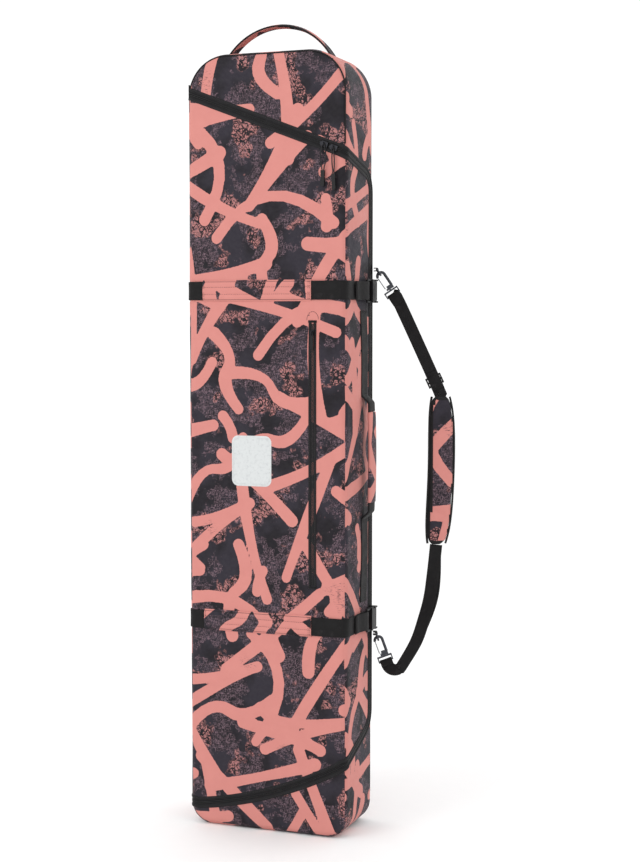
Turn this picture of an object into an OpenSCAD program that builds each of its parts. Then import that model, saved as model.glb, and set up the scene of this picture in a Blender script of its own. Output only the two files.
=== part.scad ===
// Padded snowboard bag, standing upright on its base: a wrap-round padded shell with a door panel
// that a long zip frees on three sides, two compression straps, a front pocket, a top handle, a
// side handle and a clip-on shoulder strap.
// +X is to the bag's right as seen from the front, the front faces -Y, +Z is up.
// The origin is the middle of the base.

/* [Bag] */
// Width across the front
bag_w = 350; // [280:1:440]
// Depth from front to back
bag_d = 160; // [125:1:200]
// Height of the body, without the handle
bag_h = 1600; // [1330:1:1930]
// Radius of the two top corners
top_r = 85; // [40:1:110]
// Radius of the two bottom corners
bottom_r = 45; // [25:1:80]
// Radius of the long upright edges
edge_r = 14; // [12:1:24]

/* [Wall] */
// Outer fabric
fabric_t = 2; // [1.6:0.1:3]
// Foam padding behind the fabric
foam_t = 6; // [4:0.5:8]
// Inner lining
lining_t = 1.2; // [1:0.1:2]

/* [Main zip] */
// How far below the top the zip crosses the left front edge
top_zip_left_drop = 75; // [60:1:110]
// How far below the top the zip crosses the right front edge
top_zip_right_drop = 209; // [150:1:260]
// How much the upper zip falls per millimetre towards the back
top_zip_fall = 0.25; // [0:0.01:0.4]
// Height of the lower zip at the left front edge
low_zip_left = 42; // [36:1:60]
// Height of the lower zip at the right front edge
low_zip_right = 156; // [100:1:200]
// Sag of the lower zip's curve below a straight line
low_zip_sag = 20; // [10:1:26]
// How much the lower zip rises per millimetre towards the back
low_zip_rise = 0.38; // [0:0.01:0.45]
// Distance from the zip's upright run to the back
zip_back = 15; // [14:0.5:20]
// Radius of the zip's bends on the side
zip_r = 45; // [30:1:60]
// Width of the black zip band
zip_band = 24; // [18:1:30]
// Width of the closed zip coil
coil_w = 6; // [5:0.5:8]

/* [Zip sliders] */
// Length of a main slider
slider_l = 17; // [14:1:20]
// Width of a main slider
slider_w = 11; // [10:0.5:13]
// Middle of the right slider, measured in from the right side
slider_b_in = 27; // [26:1:60]
// Spacing of the two sliders along the front
slider_gap = 20; // [19:1:40]
// Length of a pull, from the slider to the end of its tip
pull_l = 84; // [60:1:110]
// Diameter of the pull cord
pull_cord_d = 2.4; // [2:0.1:3]

/* [Compression straps] */
// Width of the webbing
strap_w = 38; // [30:1:50]
// Thickness of the webbing
strap_t = 1.8; // [1.4:0.1:2.4]
// Middle of the upper strap, below the top
upper_strap_drop = 481; // [440:1:520]
// Middle of the lower strap, above the base
lower_strap_z = 436; // [400:1:480]
// Printed sleeve's left end, from the left side
sleeve_left_in = 36; // [25:1:60]
// Printed sleeve's right end, from the right side
sleeve_right_in = 75; // [50:1:110]
// Sleeve's border above and below the webbing
sleeve_border = 3; // [2:0.5:6]
// Sleeve's fabric
sleeve_t = 1; // [0.8:0.1:1.6]

/* [Buckles] */
// Thickness of a buckle
buckle_t = 11; // [10:0.5:13]
// Length of the socket half
socket_l = 27; // [24:1:32]
// Length of the plug half's frame
plug_l = 25; // [22:1:30]
// Length of the plug's arms inside the socket
arm_l = 14; // [12:0.5:15]
// Loose end of webbing behind the plug's bar
tail_l = 62; // [40:1:90]

/* [Front pocket] */
// Pocket zip, in from the right side
pocket_in = 72; // [60:1:90]
// Pocket zip's lower end above the lower strap
pocket_low = 80; // [50:1:120]
// Pocket zip's upper end below the upper strap
pocket_high = 63; // [50:1:100]
// Width of the pocket's zip tape
pocket_zip_w = 16; // [14:1:20]
// Width of the pocket pouch
pouch_w = 235; // [150:5:260]
// Depth of the pouch
pouch_d = 9; // [8:0.5:14]

/* [Handles] */
// Half the distance between the top handle's ends
handle_half = 104; // [80:1:115]
// Rise of the top handle above its ends
handle_rise = 50; // [40:1:60]
// Width of the top handle
handle_w = 30; // [24:1:40]
// Thickness of the top handle
handle_t = 7; // [5:0.5:10]
// Length of the side handle's padded grip
grip_l = 234; // [150:1:280]
// Free distance between the grip's webbing and the compression straps
grip_web_clear = 22; // [5:1:60]
// Width of the side handle's webbing
grip_web_w = 38; // [30:1:45]
// Gap behind the grip
grip_gap = 13; // [10:1:30]
// Thickness of the padded grip
grip_t = 11; // [8:1:16]
// How far the grip can be pulled out
grip_pull = 20; // [10:1:25]

/* [Shoulder strap] */
// Angle of the strap's plane behind the bag's side
strap_angle = 21; // [0:1:30]
// Width of the webbing
shoulder_w = 26; // [20:1:32]
// Thickness of the webbing
shoulder_t = 2.4; // [1.8:0.1:4]
// Length of the pad
pad_l = 318; // [240:1:330]
// Width of the pad at its middle
pad_w = 54; // [44:1:65]
// Width of the pad at its ends
pad_end_w = 36; // [30:1:44]
// Thickness of the pad
pad_t = 15; // [10:1:20]
// How far the pad's middle stands out from the rings
pad_out = 143; // [110:1:180]
// Bulge of the pad's curve
pad_bulge = 10; // [0:1:16]
// Diameter of the rings' wire
ring_d = 4; // [3:0.5:5]
// Inside width of the rings
ring_w = 20; // [18:1:24]
// From the upper buckle's top up to the strap's ring
upper_ring_up = 21; // [12:1:30]
// From the lower buckle's underside down to the strap's ring
lower_ring_down = 11; // [10:1:36]
// Length of a hook from its bow to its swivel
hook_l = 33; // [28:1:40]

/* [Badge] */
// Width of the plain badge
badge_w = 88; // [60:1:100]
// Height of the plain badge
badge_h = 104; // [60:1:120]
// Middle of the badge, left of the bag's middle
badge_left = 31; // [0:1:50]

/* [Hidden] */

// Clearance between pieces that move against each other
gap = 0.4;
half_w = bag_w / 2;
half_d = bag_d / 2;
wall_t = fabric_t + foam_t + lining_t;
// Longer than the whole bag, for cutting
far = 3000;

// ---- Padded shell ----

// Outline of the bag seen from the front, drawn in X and Z
module front_outline(inset) {
    w = half_w - inset;
    rt = max(top_r - inset, 1);
    rb = max(bottom_r - inset, 1);
    hi = bag_h - inset;
    translate([-w, inset + rb]) square([2 * w, hi - rt - rb - inset]);
    translate([-w + rt, hi - rt - 1]) square([2 * (w - rt), rt + 1]);
    translate([-w + rb, inset]) square([2 * (w - rb), rb + 1]);
    for (s = [-1, 1]) {
        translate([s * (w - rt), hi - rt]) circle(r = rt, $fn = 96);
        translate([s * (w - rb), inset + rb]) circle(r = rb, $fn = 96);
    }
}

// Solid form of the bag, shrunk by inset on every side, or grown where inset is negative
module form(inset) {
    w = half_w - inset;
    d = half_d - inset;
    r = max(edge_r - inset, 1);
    intersection() {
        rotate([90, 0, 0]) linear_extrude(2 * d, center = true) front_outline(inset);
        union() {
            translate([-w, -d + r, -20]) cube([2 * w, 2 * (d - r), far]);
            translate([-w + r, -d, -20]) cube([2 * (w - r), 2 * d, far]);
            for (x = [-w + r, w - r], y = [-d + r, d - r])
                translate([x, y, -20]) cylinder(r = r, h = far, $fn = 64);
        }
    }
}

// A layer of the wall between two depths
module layer(outer, inner) {
    difference() {
        form(outer);
        form(inner);
    }
}

// Everything inside the front outline, from front to back, for cutting plates from gussets
module plate_core() {
    rotate([90, 0, 0]) linear_extrude(far, center = true) front_outline(edge_r);
}

module front_half() { translate([-far / 2, -far, -far / 2]) cube([far, far, 2 * far]); }

module back_half() { translate([-far / 2, 0, -far / 2]) cube([far, far, 2 * far]); }

// ---- The door, which the main zip frees ----

zip_y = half_d - zip_back;
top_slope = (top_zip_left_drop - top_zip_right_drop) / bag_w;
top_mid_z = bag_h - (top_zip_left_drop + top_zip_right_drop) / 2;
low_turn = atan(low_zip_rise);
// The lower zip's arc, across a section square to its run from front to back
low_dx = bag_w;
low_dz = (low_zip_right - low_zip_left) * cos(low_turn);
low_chord = sqrt(low_dx * low_dx + low_dz * low_dz);
low_sag = low_zip_sag * cos(low_turn);
low_arc_r = low_chord * low_chord / (8 * low_sag) + low_sag / 2;
low_lean = atan(low_dz / low_dx);
low_arc_x = -sin(low_lean) * (low_arc_r - low_sag);
low_arc_z = (low_zip_left + low_zip_right) / 2 * cos(low_turn) + cos(low_lean) * (low_arc_r - low_sag);
// Slope of that arc where it reaches the right side, for the bend on the side gusset
low_end_slope = tan(low_lean + asin(low_chord / (2 * low_arc_r))) / cos(low_turn);

// The lower bend starts this far below the arc, so that the two cross cleanly
bend_drop = 2;
// Straight runs that the zip turns each bend in
bend_runs = 5;

// Side view of the door's boundary, in Y and Z: a sloping line that turns, in a few straight
// runs, into an upright one. side is 1 for the upper boundary and -1 for the lower one.
module side_boundary(slope, side, inset) {
    k = sqrt(1 + slope * slope);
    oy = zip_y - zip_r;
    oz = slope * oy - side * zip_r * k;
    r = zip_r - inset;
    first = side * 90 + atan(slope);
    bend = [for (i = [0 : bend_runs]) let (a = first * (1 - i / bend_runs))
            [oy + r * cos(a), oz + r * sin(a)]];
    polygon(concat([[bend[0][0] - far, bend[0][1] - far * slope]], bend,
                   [[oy + r, oz - side * far], [bend[0][0] - far, oz - side * far]]));
}

// All that lies on the door's side of a plane through the zip
module side_zone(mid_z, slope_x, slope_y, side, inset) {
    turn = atan(slope_x);
    translate([0, 0, mid_z]) rotate([0, -turn, 0]) rotate([90, 0, 90])
        linear_extrude(far, center = true) side_boundary(slope_y * cos(turn), side, inset);
}

// The door's whole region, with its boundary moved inwards by inset
module door_zone(inset) {
    intersection() {
        side_zone(top_mid_z - top_zip_fall * half_d, top_slope, -top_zip_fall, 1, inset);
        side_zone(low_zip_right - low_end_slope * half_w + low_zip_rise * half_d - bend_drop,
                  low_end_slope, low_zip_rise, -1, inset);
        translate([0, -half_d, 0]) rotate([low_turn, 0, 0]) translate([low_arc_x, 0, low_arc_z])
            union() {
                rotate([90, 0, 0]) cylinder(r = low_arc_r - inset, h = far, center = true, $fn = 360);
                translate([-far / 2, -far / 2, 0]) cube([far, far, far]);
            }
    }
}

// Heights between which the door's left edge is its fabric hinge
hinge_top_z = bag_h - top_zip_left_drop - top_zip_fall * (half_d + zip_y) - zip_r;
hinge_low_z = low_zip_left + low_zip_rise * (half_d + zip_y) + zip_r;

// Strip of the left gusset that the zip doesn't reach, up to the fabric hinge
module hinge_strip(edge) {
    translate([-half_w - 20, zip_y - zip_band, hinge_low_z])
        cube([60, zip_band - edge, hinge_top_z - hinge_low_z]);
}

module door_fabric_zone() {
    union() {
        door_zone(zip_band / 2);
        hinge_strip(gap);
    }
}

module shell_keep_out() {
    difference() {
        door_zone(-zip_band / 2);
        translate([-half_w - 20, zip_y, hinge_low_z])
            cube([60, zip_band, hinge_top_z - hinge_low_z]);
    }
}

print_pink = [0.88, 0.52, 0.48];
print_dark = [0.17, 0.15, 0.17];
black = [0.08, 0.08, 0.09];

module shell_fabric() {
    difference() {
        layer(0, fabric_t);
        shell_keep_out();
    }
}

// Height at which the shell's strips are parted between its top and bottom pieces
part_z = bag_h / 2;

module above() { translate([-far / 2, -far / 2, part_z]) cube(far); }

module below() { translate([-far / 2, -far / 2, part_z - far]) cube(far); }

module back_panel() {
    color(print_dark) intersection() {
        layer(0, fabric_t);
        plate_core();
        back_half();
    }
}

module top_gusset() {
    color(print_pink) difference() {
        intersection() {
            shell_fabric();
            above();
        }
        plate_core();
    }
}

module bottom_gusset() {
    color(print_pink) difference() {
        intersection() {
            shell_fabric();
            below();
        }
        plate_core();
    }
}

module front_top_panel() {
    color(print_pink) intersection() {
        shell_fabric();
        plate_core();
        front_half();
        above();
    }
}

module front_bottom_panel() {
    color(print_pink) intersection() {
        shell_fabric();
        plate_core();
        front_half();
        below();
    }
}

module shell_foam() {
    difference() {
        layer(fabric_t, fabric_t + foam_t);
        door_zone(-zip_band / 2);
    }
}

module back_foam() {
    color("gainsboro") intersection() {
        shell_foam();
        translate([-far / 2, half_d - fabric_t - foam_t, -far / 2]) cube([far, far, 2 * far]);
    }
}

module end_foam() {
    difference() {
        shell_foam();
        translate([-far / 2, half_d - fabric_t - foam_t, -far / 2]) cube([far, far, 2 * far]);
    }
}

module top_foam() {
    color("gainsboro") intersection() {
        end_foam();
        above();
    }
}

module bottom_foam() {
    color("gainsboro") intersection() {
        end_foam();
        below();
    }
}

module shell_lining() {
    color("dimgray") difference() {
        layer(fabric_t + foam_t, wall_t);
        door_zone(-zip_band / 2);
    }
}

// ---- Pocket sizes, which the door is cut for ----

pocket_x = half_w - pocket_in;
upper_z = bag_h - upper_strap_drop;
lower_z = lower_strap_z;
pocket_z0 = lower_z + pocket_low;
pocket_z1 = upper_z - pocket_high;
pocket_slot_w = 6;
pouch_x1 = pocket_x + 24;
pouch_wall = 1;

module pocket_slot() {
    translate([pocket_x - pocket_slot_w / 2, -half_d - 5, pocket_z0 + 6])
        cube([pocket_slot_w, 40, pocket_z1 - pocket_z0 - 12]);
}

module door_fabric() {
    intersection() {
        layer(0, fabric_t);
        door_fabric_zone();
    }
}

module front_panel() {
    color(print_pink) difference() {
        intersection() {
            door_fabric();
            plate_core();
            front_half();
        }
        pocket_slot();
    }
}

module door_side(s) {
    color(print_pink) difference() {
        intersection() {
            door_fabric();
            translate([s > 0 ? 0 : -far, -far / 2, 0]) cube(far);
        }
        plate_core();
    }
}

module left_gusset() { door_side(-1); }

module right_gusset() { door_side(1); }

module door_foam() {
    color("gainsboro") difference() {
        intersection() {
            layer(fabric_t, fabric_t + foam_t);
            door_zone(zip_band / 2);
        }
        pocket_slot();
    }
}

module door_lining() {
    color("dimgray") difference() {
        intersection() {
            layer(fabric_t + foam_t, wall_t);
            door_zone(zip_band / 2);
        }
        pocket_slot();
    }
}

// ---- Main zip ----

tape_depth = 0.6;
tape_t = 1;
coil_proud = 0.1;
coil_t = 2.2;

// Part of a layer that lies between two distances inside the zip's line
module zip_strip(outer, inner, near, deep) {
    difference() {
        intersection() {
            layer(outer, inner);
            door_zone(near);
        }
        door_zone(deep);
        hinge_strip(-zip_band);
    }
}

module shell_zip_tape() {
    color(black) zip_strip(tape_depth, tape_depth + tape_t, -zip_band / 2, -coil_w / 2);
}

module door_zip_tape() {
    color(black) zip_strip(tape_depth, tape_depth + tape_t, coil_w / 2, zip_band / 2);
}

module shell_zip_coil() {
    color(black) zip_strip(-coil_proud, coil_t - coil_proud, -coil_w / 2, -gap / 2);
}

module door_zip_coil() {
    color(black) zip_strip(-coil_proud, coil_t - coil_proud, gap / 2, coil_w / 2);
}

slider_t = 3.4;
slider_y = -half_d - coil_proud - gap;
slider_b_x = half_w - slider_b_in;
slider_a_x = slider_b_x - slider_gap;
// Hoop: its height, how far it stands out, its thickness and its wire
eye_h = 7;
eye_d = 5;
eye_t = 1.8;
eye_wire = 1.4;
// Distance from a slider's plate to the pull's own axis
eye_mid = (eye_d - eye_wire) / 2;

function top_zip_z(x) = top_mid_z + top_slope * x;

// Places what follows on the upper zip, with its own X along the zip
module at_top_zip(x) {
    translate([x, slider_y, top_zip_z(x)]) rotate([0, -atan(top_slope), 0]) children();
}

// A slider's cover plate
module slider_plate(l, w) {
    difference() {
        translate([-l / 2, -slider_t, -w / 2]) cube([l, slider_t, w]);
        for (s = [-1, 1])
            translate([-l / 2, 1, s * w / 2]) rotate([90, 0, 0])
                cylinder(r = 3, h = slider_t + 2, $fn = 32);
    }
}

// Hoop on a slider, standing in Y and Z, for its pull to pass through
module hoop() {
    translate([-eye_t / 2, -slider_t - eye_d, -eye_h / 2]) difference() {
        cube([eye_t, eye_d, eye_h]);
        translate([-1, eye_wire, eye_wire]) cube([eye_t + 2, eye_d, eye_h - 2 * eye_wire]);
    }
}

// A main slider lies along the zip, and its hoop stands upright
module main_slider(x) {
    color("darkslategray") at_top_zip(x) {
        slider_plate(slider_l, slider_w);
        rotate([0, atan(top_slope), 0]) hoop();
    }
}

module slider_left() { main_slider(slider_a_x); }

module slider_right() { main_slider(slider_b_x); }

// Pull: a cord through the slider's hoop, hanging down the front into a moulded tip
tip_l = 32;
tip_t = 5;
tip_w = 8;
pull_y = slider_y - slider_t - eye_mid;

function ring_points(p, dir, r, n) =
    let (u = [dir[2], 0, -dir[0]], v = [0, 1, 0])
    [for (i = [0:n - 1]) p + r * (cos(360 * i / n) * u + sin(360 * i / n) * v)];

// Tube of n sides along points that lie in an upright plane
module tube(points, r, n) {
    m = len(points);
    dirs = [for (i = [0:m - 1])
        let (d = points[min(i + 1, m - 1)] - points[max(i - 1, 0)]) d / norm(d)];
    rings = [for (i = [0:m - 1]) each ring_points(points[i], dirs[i], r, n)];
    sides = [for (i = [0:m - 2], j = [0:n - 1])
        let (a = i * n + j, b = i * n + (j + 1) % n) [a, b, b + n, a + n]];
    ends = [[for (j = [0:n - 1]) n - 1 - j], [for (j = [0:n - 1]) (m - 1) * n + j]];
    polyhedron(points = rings, faces = concat(sides, ends), convexity = 6);
}

// Half a loop of pull cord, from the hoop down to the tip, and its mirror image on the other side
function pull_half(bow, s) = [
    [0, 0], [s * 1.6, -0.5], [s * 2.7, -2.4], [s * bow * 0.55, -8], [s * bow * 0.85, -16],
    [s * bow, -26], [s * bow * 0.85, -36], [s * bow * 0.5, -45], [s * 1.8, pull_tip_top]];

pull_tip_top = tip_l - pull_l;

function pull_route(bow, lean) = [
    for (p = concat([for (i = [8:-1:1]) pull_half(bow, -1)[i]], pull_half(bow, 1)))
        [p[0] + lean * p[1], 0, p[1]]];

module pull_cord(x, bow, lean) {
    translate([x, pull_y, top_zip_z(x)]) tube(pull_route(bow, lean), pull_cord_d / 2, 8);
}

module pull_tip(x, lean) {
    translate([x + lean * pull_tip_top, pull_y, top_zip_z(x) + pull_tip_top]) rotate([0, atan(lean), 0])
        difference() {
            union() {
                translate([-tip_w / 2, -tip_t / 2, -tip_l + 3]) cube([tip_w, tip_t, tip_l - 3]);
                translate([0, tip_t / 2, -tip_l + 4]) rotate([90, 0, 0])
                    cylinder(r = tip_w / 2, h = tip_t, $fn = 32);
            }
            for (s = [-1, 1], i = [0:3])
                translate([s * (tip_w / 2 + 0.9), 0, -7 - 5 * i]) rotate([90, 0, 0])
                    cylinder(r = 1.6, h = tip_t + 2, center = true, $fn = 16);
        }
}

bow_left = 6;
bow_right = 2.6;
lean_left = 0.02;
lean_right = -0.03;

module pull_cord_left() { color(black) pull_cord(slider_a_x, bow_left, lean_left); }

module pull_cord_right() { color(black) pull_cord(slider_b_x, bow_right, lean_right); }

module pull_tip_left() { color(black) pull_tip(slider_a_x, lean_left); }

module pull_tip_right() { color(black) pull_tip(slider_b_x, lean_right); }

// ---- Front pocket ----

module pocket_zip_tape() {
    color(black) difference() {
        translate([pocket_x - pocket_zip_w / 2, -half_d - 0.6, pocket_z0])
            cube([pocket_zip_w, 0.6, pocket_z1 - pocket_z0]);
        translate([pocket_x - 2, -half_d - 2, pocket_z0 + 6])
            cube([4, 4, pocket_z1 - pocket_z0 - 12]);
    }
}

module pocket_zip_coil() {
    color(black) translate([pocket_x - 2, -half_d - 0.8, pocket_z0 + 6])
        cube([4, 2, pocket_z1 - pocket_z0 - 12]);
}

pocket_slider_l = 12;
pocket_slider_w = 8;
pocket_slider_z = pocket_z1 - 22;
pocket_slider_y = -half_d - 0.8 - gap;

module pocket_slider() {
    color("darkslategray") translate([pocket_x, pocket_slider_y, pocket_slider_z]) {
        slider_plate(pocket_slider_w, pocket_slider_l);
        hoop();
    }
}

pocket_pull_w = 5.8;
pocket_pull_t = 1.6;
pocket_pull_l = 32;

module pocket_pull() {
    color(black) translate([pocket_x, pocket_slider_y - slider_t - eye_mid, pocket_slider_z])
        rotate([90, 0, 0]) linear_extrude(pocket_pull_t, center = true) difference() {
            union() {
                translate([-pocket_pull_w / 2, -pocket_pull_l]) square([pocket_pull_w, pocket_pull_l + 1]);
                translate([0, -pocket_pull_l]) circle(r = pocket_pull_w / 2, $fn = 32);
            }
            translate([-eye_t / 2 - 0.5, -6]) square([eye_t + 1, 5]);
        }
}

module pocket_pouch() {
    y0 = -half_d + wall_t;
    color("dimgray") difference() {
        translate([pouch_x1 - pouch_w, y0, pocket_z0 - 10])
            cube([pouch_w, pouch_d, pocket_z1 - pocket_z0 + 20]);
        translate([pouch_x1 - pouch_w + pouch_wall, y0 - 1, pocket_z0 - 10 + pouch_wall])
            cube([pouch_w - 2 * pouch_wall, pouch_d + 1 - pouch_wall,
                  pocket_z1 - pocket_z0 + 20 - 2 * pouch_wall]);
    }
}

// ---- Compression straps ----

strap_out = gap + strap_t;
sleeve_x0 = -half_w + sleeve_left_in;
sleeve_x1 = half_w - sleeve_right_in;
// The plug half's bar and the socket's back bar, measured from front to back
plug_bar_y = zip_y - 43;
socket_y0 = plug_bar_y + plug_l;
socket_bar_y = socket_y0 + socket_l - 3;

module slab(z, h) { translate([-far / 2, -far / 2, z - h / 2]) cube([far, far, h]); }

// Webbing that hugs the bag from the left hinge, across the front, to under the plug
module strap(z) {
    color(black) intersection() {
        layer(-strap_out, -gap);
        slab(z, strap_w);
        union() {
            translate([-far, -far, 0]) cube([far, far + zip_y - 3, far]);
            translate([-1, -far, 0]) cube([far, far + plug_bar_y + 4, far]);
        }
    }
}

module upper_strap() { strap(upper_z); }

module lower_strap() { strap(lower_z); }

// Printed sleeve sewn over the strap on the front panel
module sleeve(z) {
    h = strap_w + 2 * sleeve_border;
    color(print_pink) difference() {
        intersection() {
            layer(-strap_out - gap - sleeve_t, 0);
            slab(z, h);
            front_half();
            translate([sleeve_x0, -far, 0]) cube([sleeve_x1 - sleeve_x0, far, far]);
        }
        intersection() {
            form(-strap_out - gap);
            slab(z, strap_w + 2 * gap);
        }
    }
}

module strap_sleeves() {
    sleeve(upper_z);
    sleeve(lower_z);
}

// Webbing from the back panel round the back right edge to the socket's bar
module anchor_web(z) {
    x = buckle_x + buckle_t / 2;
    color(black) {
        intersection() {
            layer(-strap_out, -gap);
            slab(z, strap_w);
            translate([half_w - 110, socket_bar_y + 3, 0]) cube([far, far, far]);
        }
        translate([x, socket_bar_y, z - strap_w / 2]) difference() {
            cylinder(r = bar_r + gap + strap_t, h = strap_w, $fn = 48);
            translate([0, 0, -1]) cylinder(r = bar_r + gap, h = strap_w + 2, $fn = 48);
            translate([-20, 0, -1]) cube([40, 20, strap_w + 2]);
        }
    }
}

bar_r = 2.2;
// Buckles stand just clear of the strap that passes under them
buckle_x = half_w + strap_out + gap + 0.4;
buckle_h = strap_w + 10;

module upper_anchor_web() { anchor_web(upper_z); }

module lower_anchor_web() { anchor_web(lower_z); }

plate_t = 1.6;

// Socket half: two plates over the plug's arms, a back wall and a bar that the webbing holds
module socket(z) {
    color([0.1, 0.1, 0.11]) translate([buckle_x, socket_y0, z - buckle_h / 2]) {
        for (x = [0, buckle_t - plate_t]) translate([x, 0.2, 3]) cube([plate_t, arm_l + 2, buckle_h - 6]);
        translate([0, arm_l + 1, 0]) cube([buckle_t, 3, buckle_h]);
        translate([0, arm_l / 2, buckle_h / 2 - 2]) cube([buckle_t, arm_l / 2 + 2, 4]);
        for (s = [0, buckle_h - 3.5])
            translate([0, arm_l + 3, s]) cube([buckle_t, socket_l - arm_l - 3, 3.5]);
        translate([buckle_t / 2, socket_bar_y - socket_y0, 0]) cylinder(r = bar_r, h = buckle_h, $fn = 32);
    }
}

module upper_socket() { socket(upper_z); }

module lower_socket() { socket(lower_z); }

plug_wall = 6;

// Plug half: a frame with a bar for the strap, and a wall that carries the two sprung arms
module plug(z) {
    color([0.1, 0.1, 0.11]) translate([buckle_x, plug_bar_y, z - buckle_h / 2]) {
        translate([0, plug_l - plug_wall, 0]) cube([buckle_t, plug_wall - 0.2, buckle_h]);
        for (s = [0, buckle_h - 3.5])
            translate([buckle_t / 2 - 2.6, 0, s]) cube([5.2, plug_l - plug_wall + 1, 3.5]);
        for (s = [0, buckle_h - 3.5])
            translate([buckle_t / 2, 0, s]) cylinder(r = 2.6, h = 3.5, $fn = 32);
        translate([buckle_t / 2, 0, 0]) cylinder(r = bar_r, h = buckle_h, $fn = 32);
    }
}

module upper_plug() { plug(upper_z); }

module lower_plug() { plug(lower_z); }

arm_gap = 0.5;
arm_root = 9.5;

// One sprung arm of a plug, with the rounded button that a finger squeezes. s is its side.
module plug_arm(z, s) {
    t = buckle_t - 2 * plate_t - 2 * arm_gap;
    color([0.1, 0.1, 0.11]) translate([buckle_x + plate_t + arm_gap, socket_y0 + arm_gap, z])
        mirror([0, 0, s > 0 ? 0 : 1]) {
            translate([0, 0, arm_root]) cube([t, arm_l - 2, 4]);
            translate([0, 3, arm_root + 3]) cube([t, arm_l - 6, buckle_h / 2 - arm_root - 5]);
            translate([0, arm_l / 2, buckle_h / 2 - 4]) rotate([0, 90, 0])
                cylinder(r = 4, h = t, $fn = 40);
        }
}

module upper_plug_arm_high() { plug_arm(upper_z, 1); }

module upper_plug_arm_low() { plug_arm(upper_z, -1); }

module lower_plug_arm_high() { plug_arm(lower_z, 1); }

module lower_plug_arm_low() { plug_arm(lower_z, -1); }

// Webbing looped round the plug's bar, with its loose end lying forwards over the strap
module tail(z) {
    r0 = bar_r + gap;
    r1 = r0 + strap_t;
    x = buckle_x + buckle_t / 2;
    low_y = -22;
    color(black) translate([x, plug_bar_y, z - strap_w / 2]) linear_extrude(strap_w) {
        difference() {
            circle(r = r1, $fn = 48);
            circle(r = r0, $fn = 48);
            translate([-10, -20]) square([20, 20]);
        }
        translate([-r1, low_y]) square([strap_t, 0.2 - low_y]);
        polygon([[r0, 0.2], [r1 - 0.01, 0.2], [r1, -7], [-r0 + strap_t, low_y - 6], [-r0 + strap_t, -tail_l],
                 [-r0, -tail_l], [-r0, low_y - 7], [r0, -8]]);
    }
}

module upper_tail() { tail(upper_z); }

module lower_tail() { tail(lower_z); }

// ---- Top handle ----

handle_r = (handle_half * handle_half + handle_rise * handle_rise) / (2 * handle_rise);
handle_low = 13;
handle_z = top_z(handle_half) + handle_low;

function top_z(x) = x < half_w - top_r ? bag_h
    : bag_h - top_r + sqrt(top_r * top_r - pow(x - half_w + top_r, 2));

module handle_arch(r, t, z0, wide) {
    translate([0, 0, handle_z + handle_rise - handle_r]) rotate([90, 0, 0]) intersection() {
        linear_extrude(wide, center = true) difference() {
            circle(r = r + t / 2, $fn = 160);
            circle(r = r - t / 2, $fn = 160);
        }
        translate([-far / 2, z0 - handle_z - handle_rise + handle_r, -far / 2]) cube(far);
    }
}

// How far the handle can tip to either side, and the slope of each of the two edges that meet then
handle_tip = 45;
tip_slope = tan(handle_tip / 2);

// All that lies below two planes that meet at the handle's seam and rise or fall to both sides
module below_seam(z, slope) {
    translate([-far / 2, 0, z]) rotate([90, 0, 90]) linear_extrude(far)
        polygon([[0, 0], [far, far * slope], [far, -far], [-far, -far], [-far, far * slope]]);
}

module top_handle() {
    color(print_pink) difference() {
        handle_arch(handle_r, handle_t, handle_z, handle_w);
        below_seam(handle_z, tip_slope);
    }
}

handle_end_t = 3;

// The handle's sewn ends, between the bag's top and the arch
module top_handle_ends() {
    color(print_pink) difference() {
        intersection() {
            handle_arch(handle_r, handle_end_t, handle_z - 40, handle_w - 2);
            below_seam(handle_z - gap, -tip_slope);
        }
        form(0);
    }
}

// ---- Side handle ----

mid_z = (upper_z + lower_z) / 2;
grip_y = 18;
grip_x = half_w + grip_gap;
grip_end = 14;
grip_web_t = 2.4;
grip_web_l = (upper_z - lower_z - strap_w - grip_l) / 2 - grip_end - grip_web_clear;

// Webbing sewn to the side above and below the grip
module side_grip_web() {
    color(black) for (z = [mid_z + grip_l / 2 + grip_end, mid_z - grip_l / 2 - grip_end - grip_web_l])
        translate([half_w, grip_y - grip_web_w / 2, z]) cube([grip_web_t, grip_web_w, grip_web_l]);
}

// Padded grip with its two sloping ends of webbing
module side_grip() {
    w = grip_web_w;
    x0 = half_w + gap;
    color(print_dark) translate([0, grip_y + w / 2, mid_z]) rotate([90, 0, 0]) linear_extrude(w)
        polygon([[x0, -grip_l / 2 - grip_end + gap], [x0 + grip_web_t, -grip_l / 2 - grip_end + gap],
                 [grip_x + grip_t - 3, -grip_l / 2], [grip_x + grip_t, -grip_l / 2 + 8],
                 [grip_x + grip_t + 3, -grip_l / 4], [grip_x + grip_t + 3, grip_l / 4],
                 [grip_x + grip_t, grip_l / 2 - 8], [grip_x + grip_t - 3, grip_l / 2],
                 [x0 + grip_web_t, grip_l / 2 + grip_end - gap], [x0, grip_l / 2 + grip_end - gap],
                 [grip_x - 1, grip_l / 2 - 4], [grip_x, grip_l / 2 - 12],
                 [grip_x + 2, grip_l / 4], [grip_x + 2, -grip_l / 4],
                 [grip_x, -grip_l / 2 + 12], [grip_x - 1, -grip_l / 2 + 4]]);
}

// ---- Shoulder strap, in an upright plane of its own ----

// Distance from the edge's middle to the strap's own upright axis
axis_off = edge_r + 5;
axis_x = half_w - edge_r + axis_off * cos(strap_angle);
axis_y = half_d - edge_r + axis_off * sin(strap_angle);
upper_ring_z = upper_z + buckle_h / 2 + upper_ring_up;
lower_ring_z = lower_z - buckle_h / 2 - lower_ring_down;
ring_out = 7;
ring_r = ring_d / 2;
ring_deep = 14;
upper_pull = -56;
lower_pull = -70;

// What follows is drawn with X out from the bag and Y across the strap's plane
module at_shoulder() { translate([axis_x, axis_y, 0]) rotate([0, 0, strap_angle]) children(); }

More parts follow.
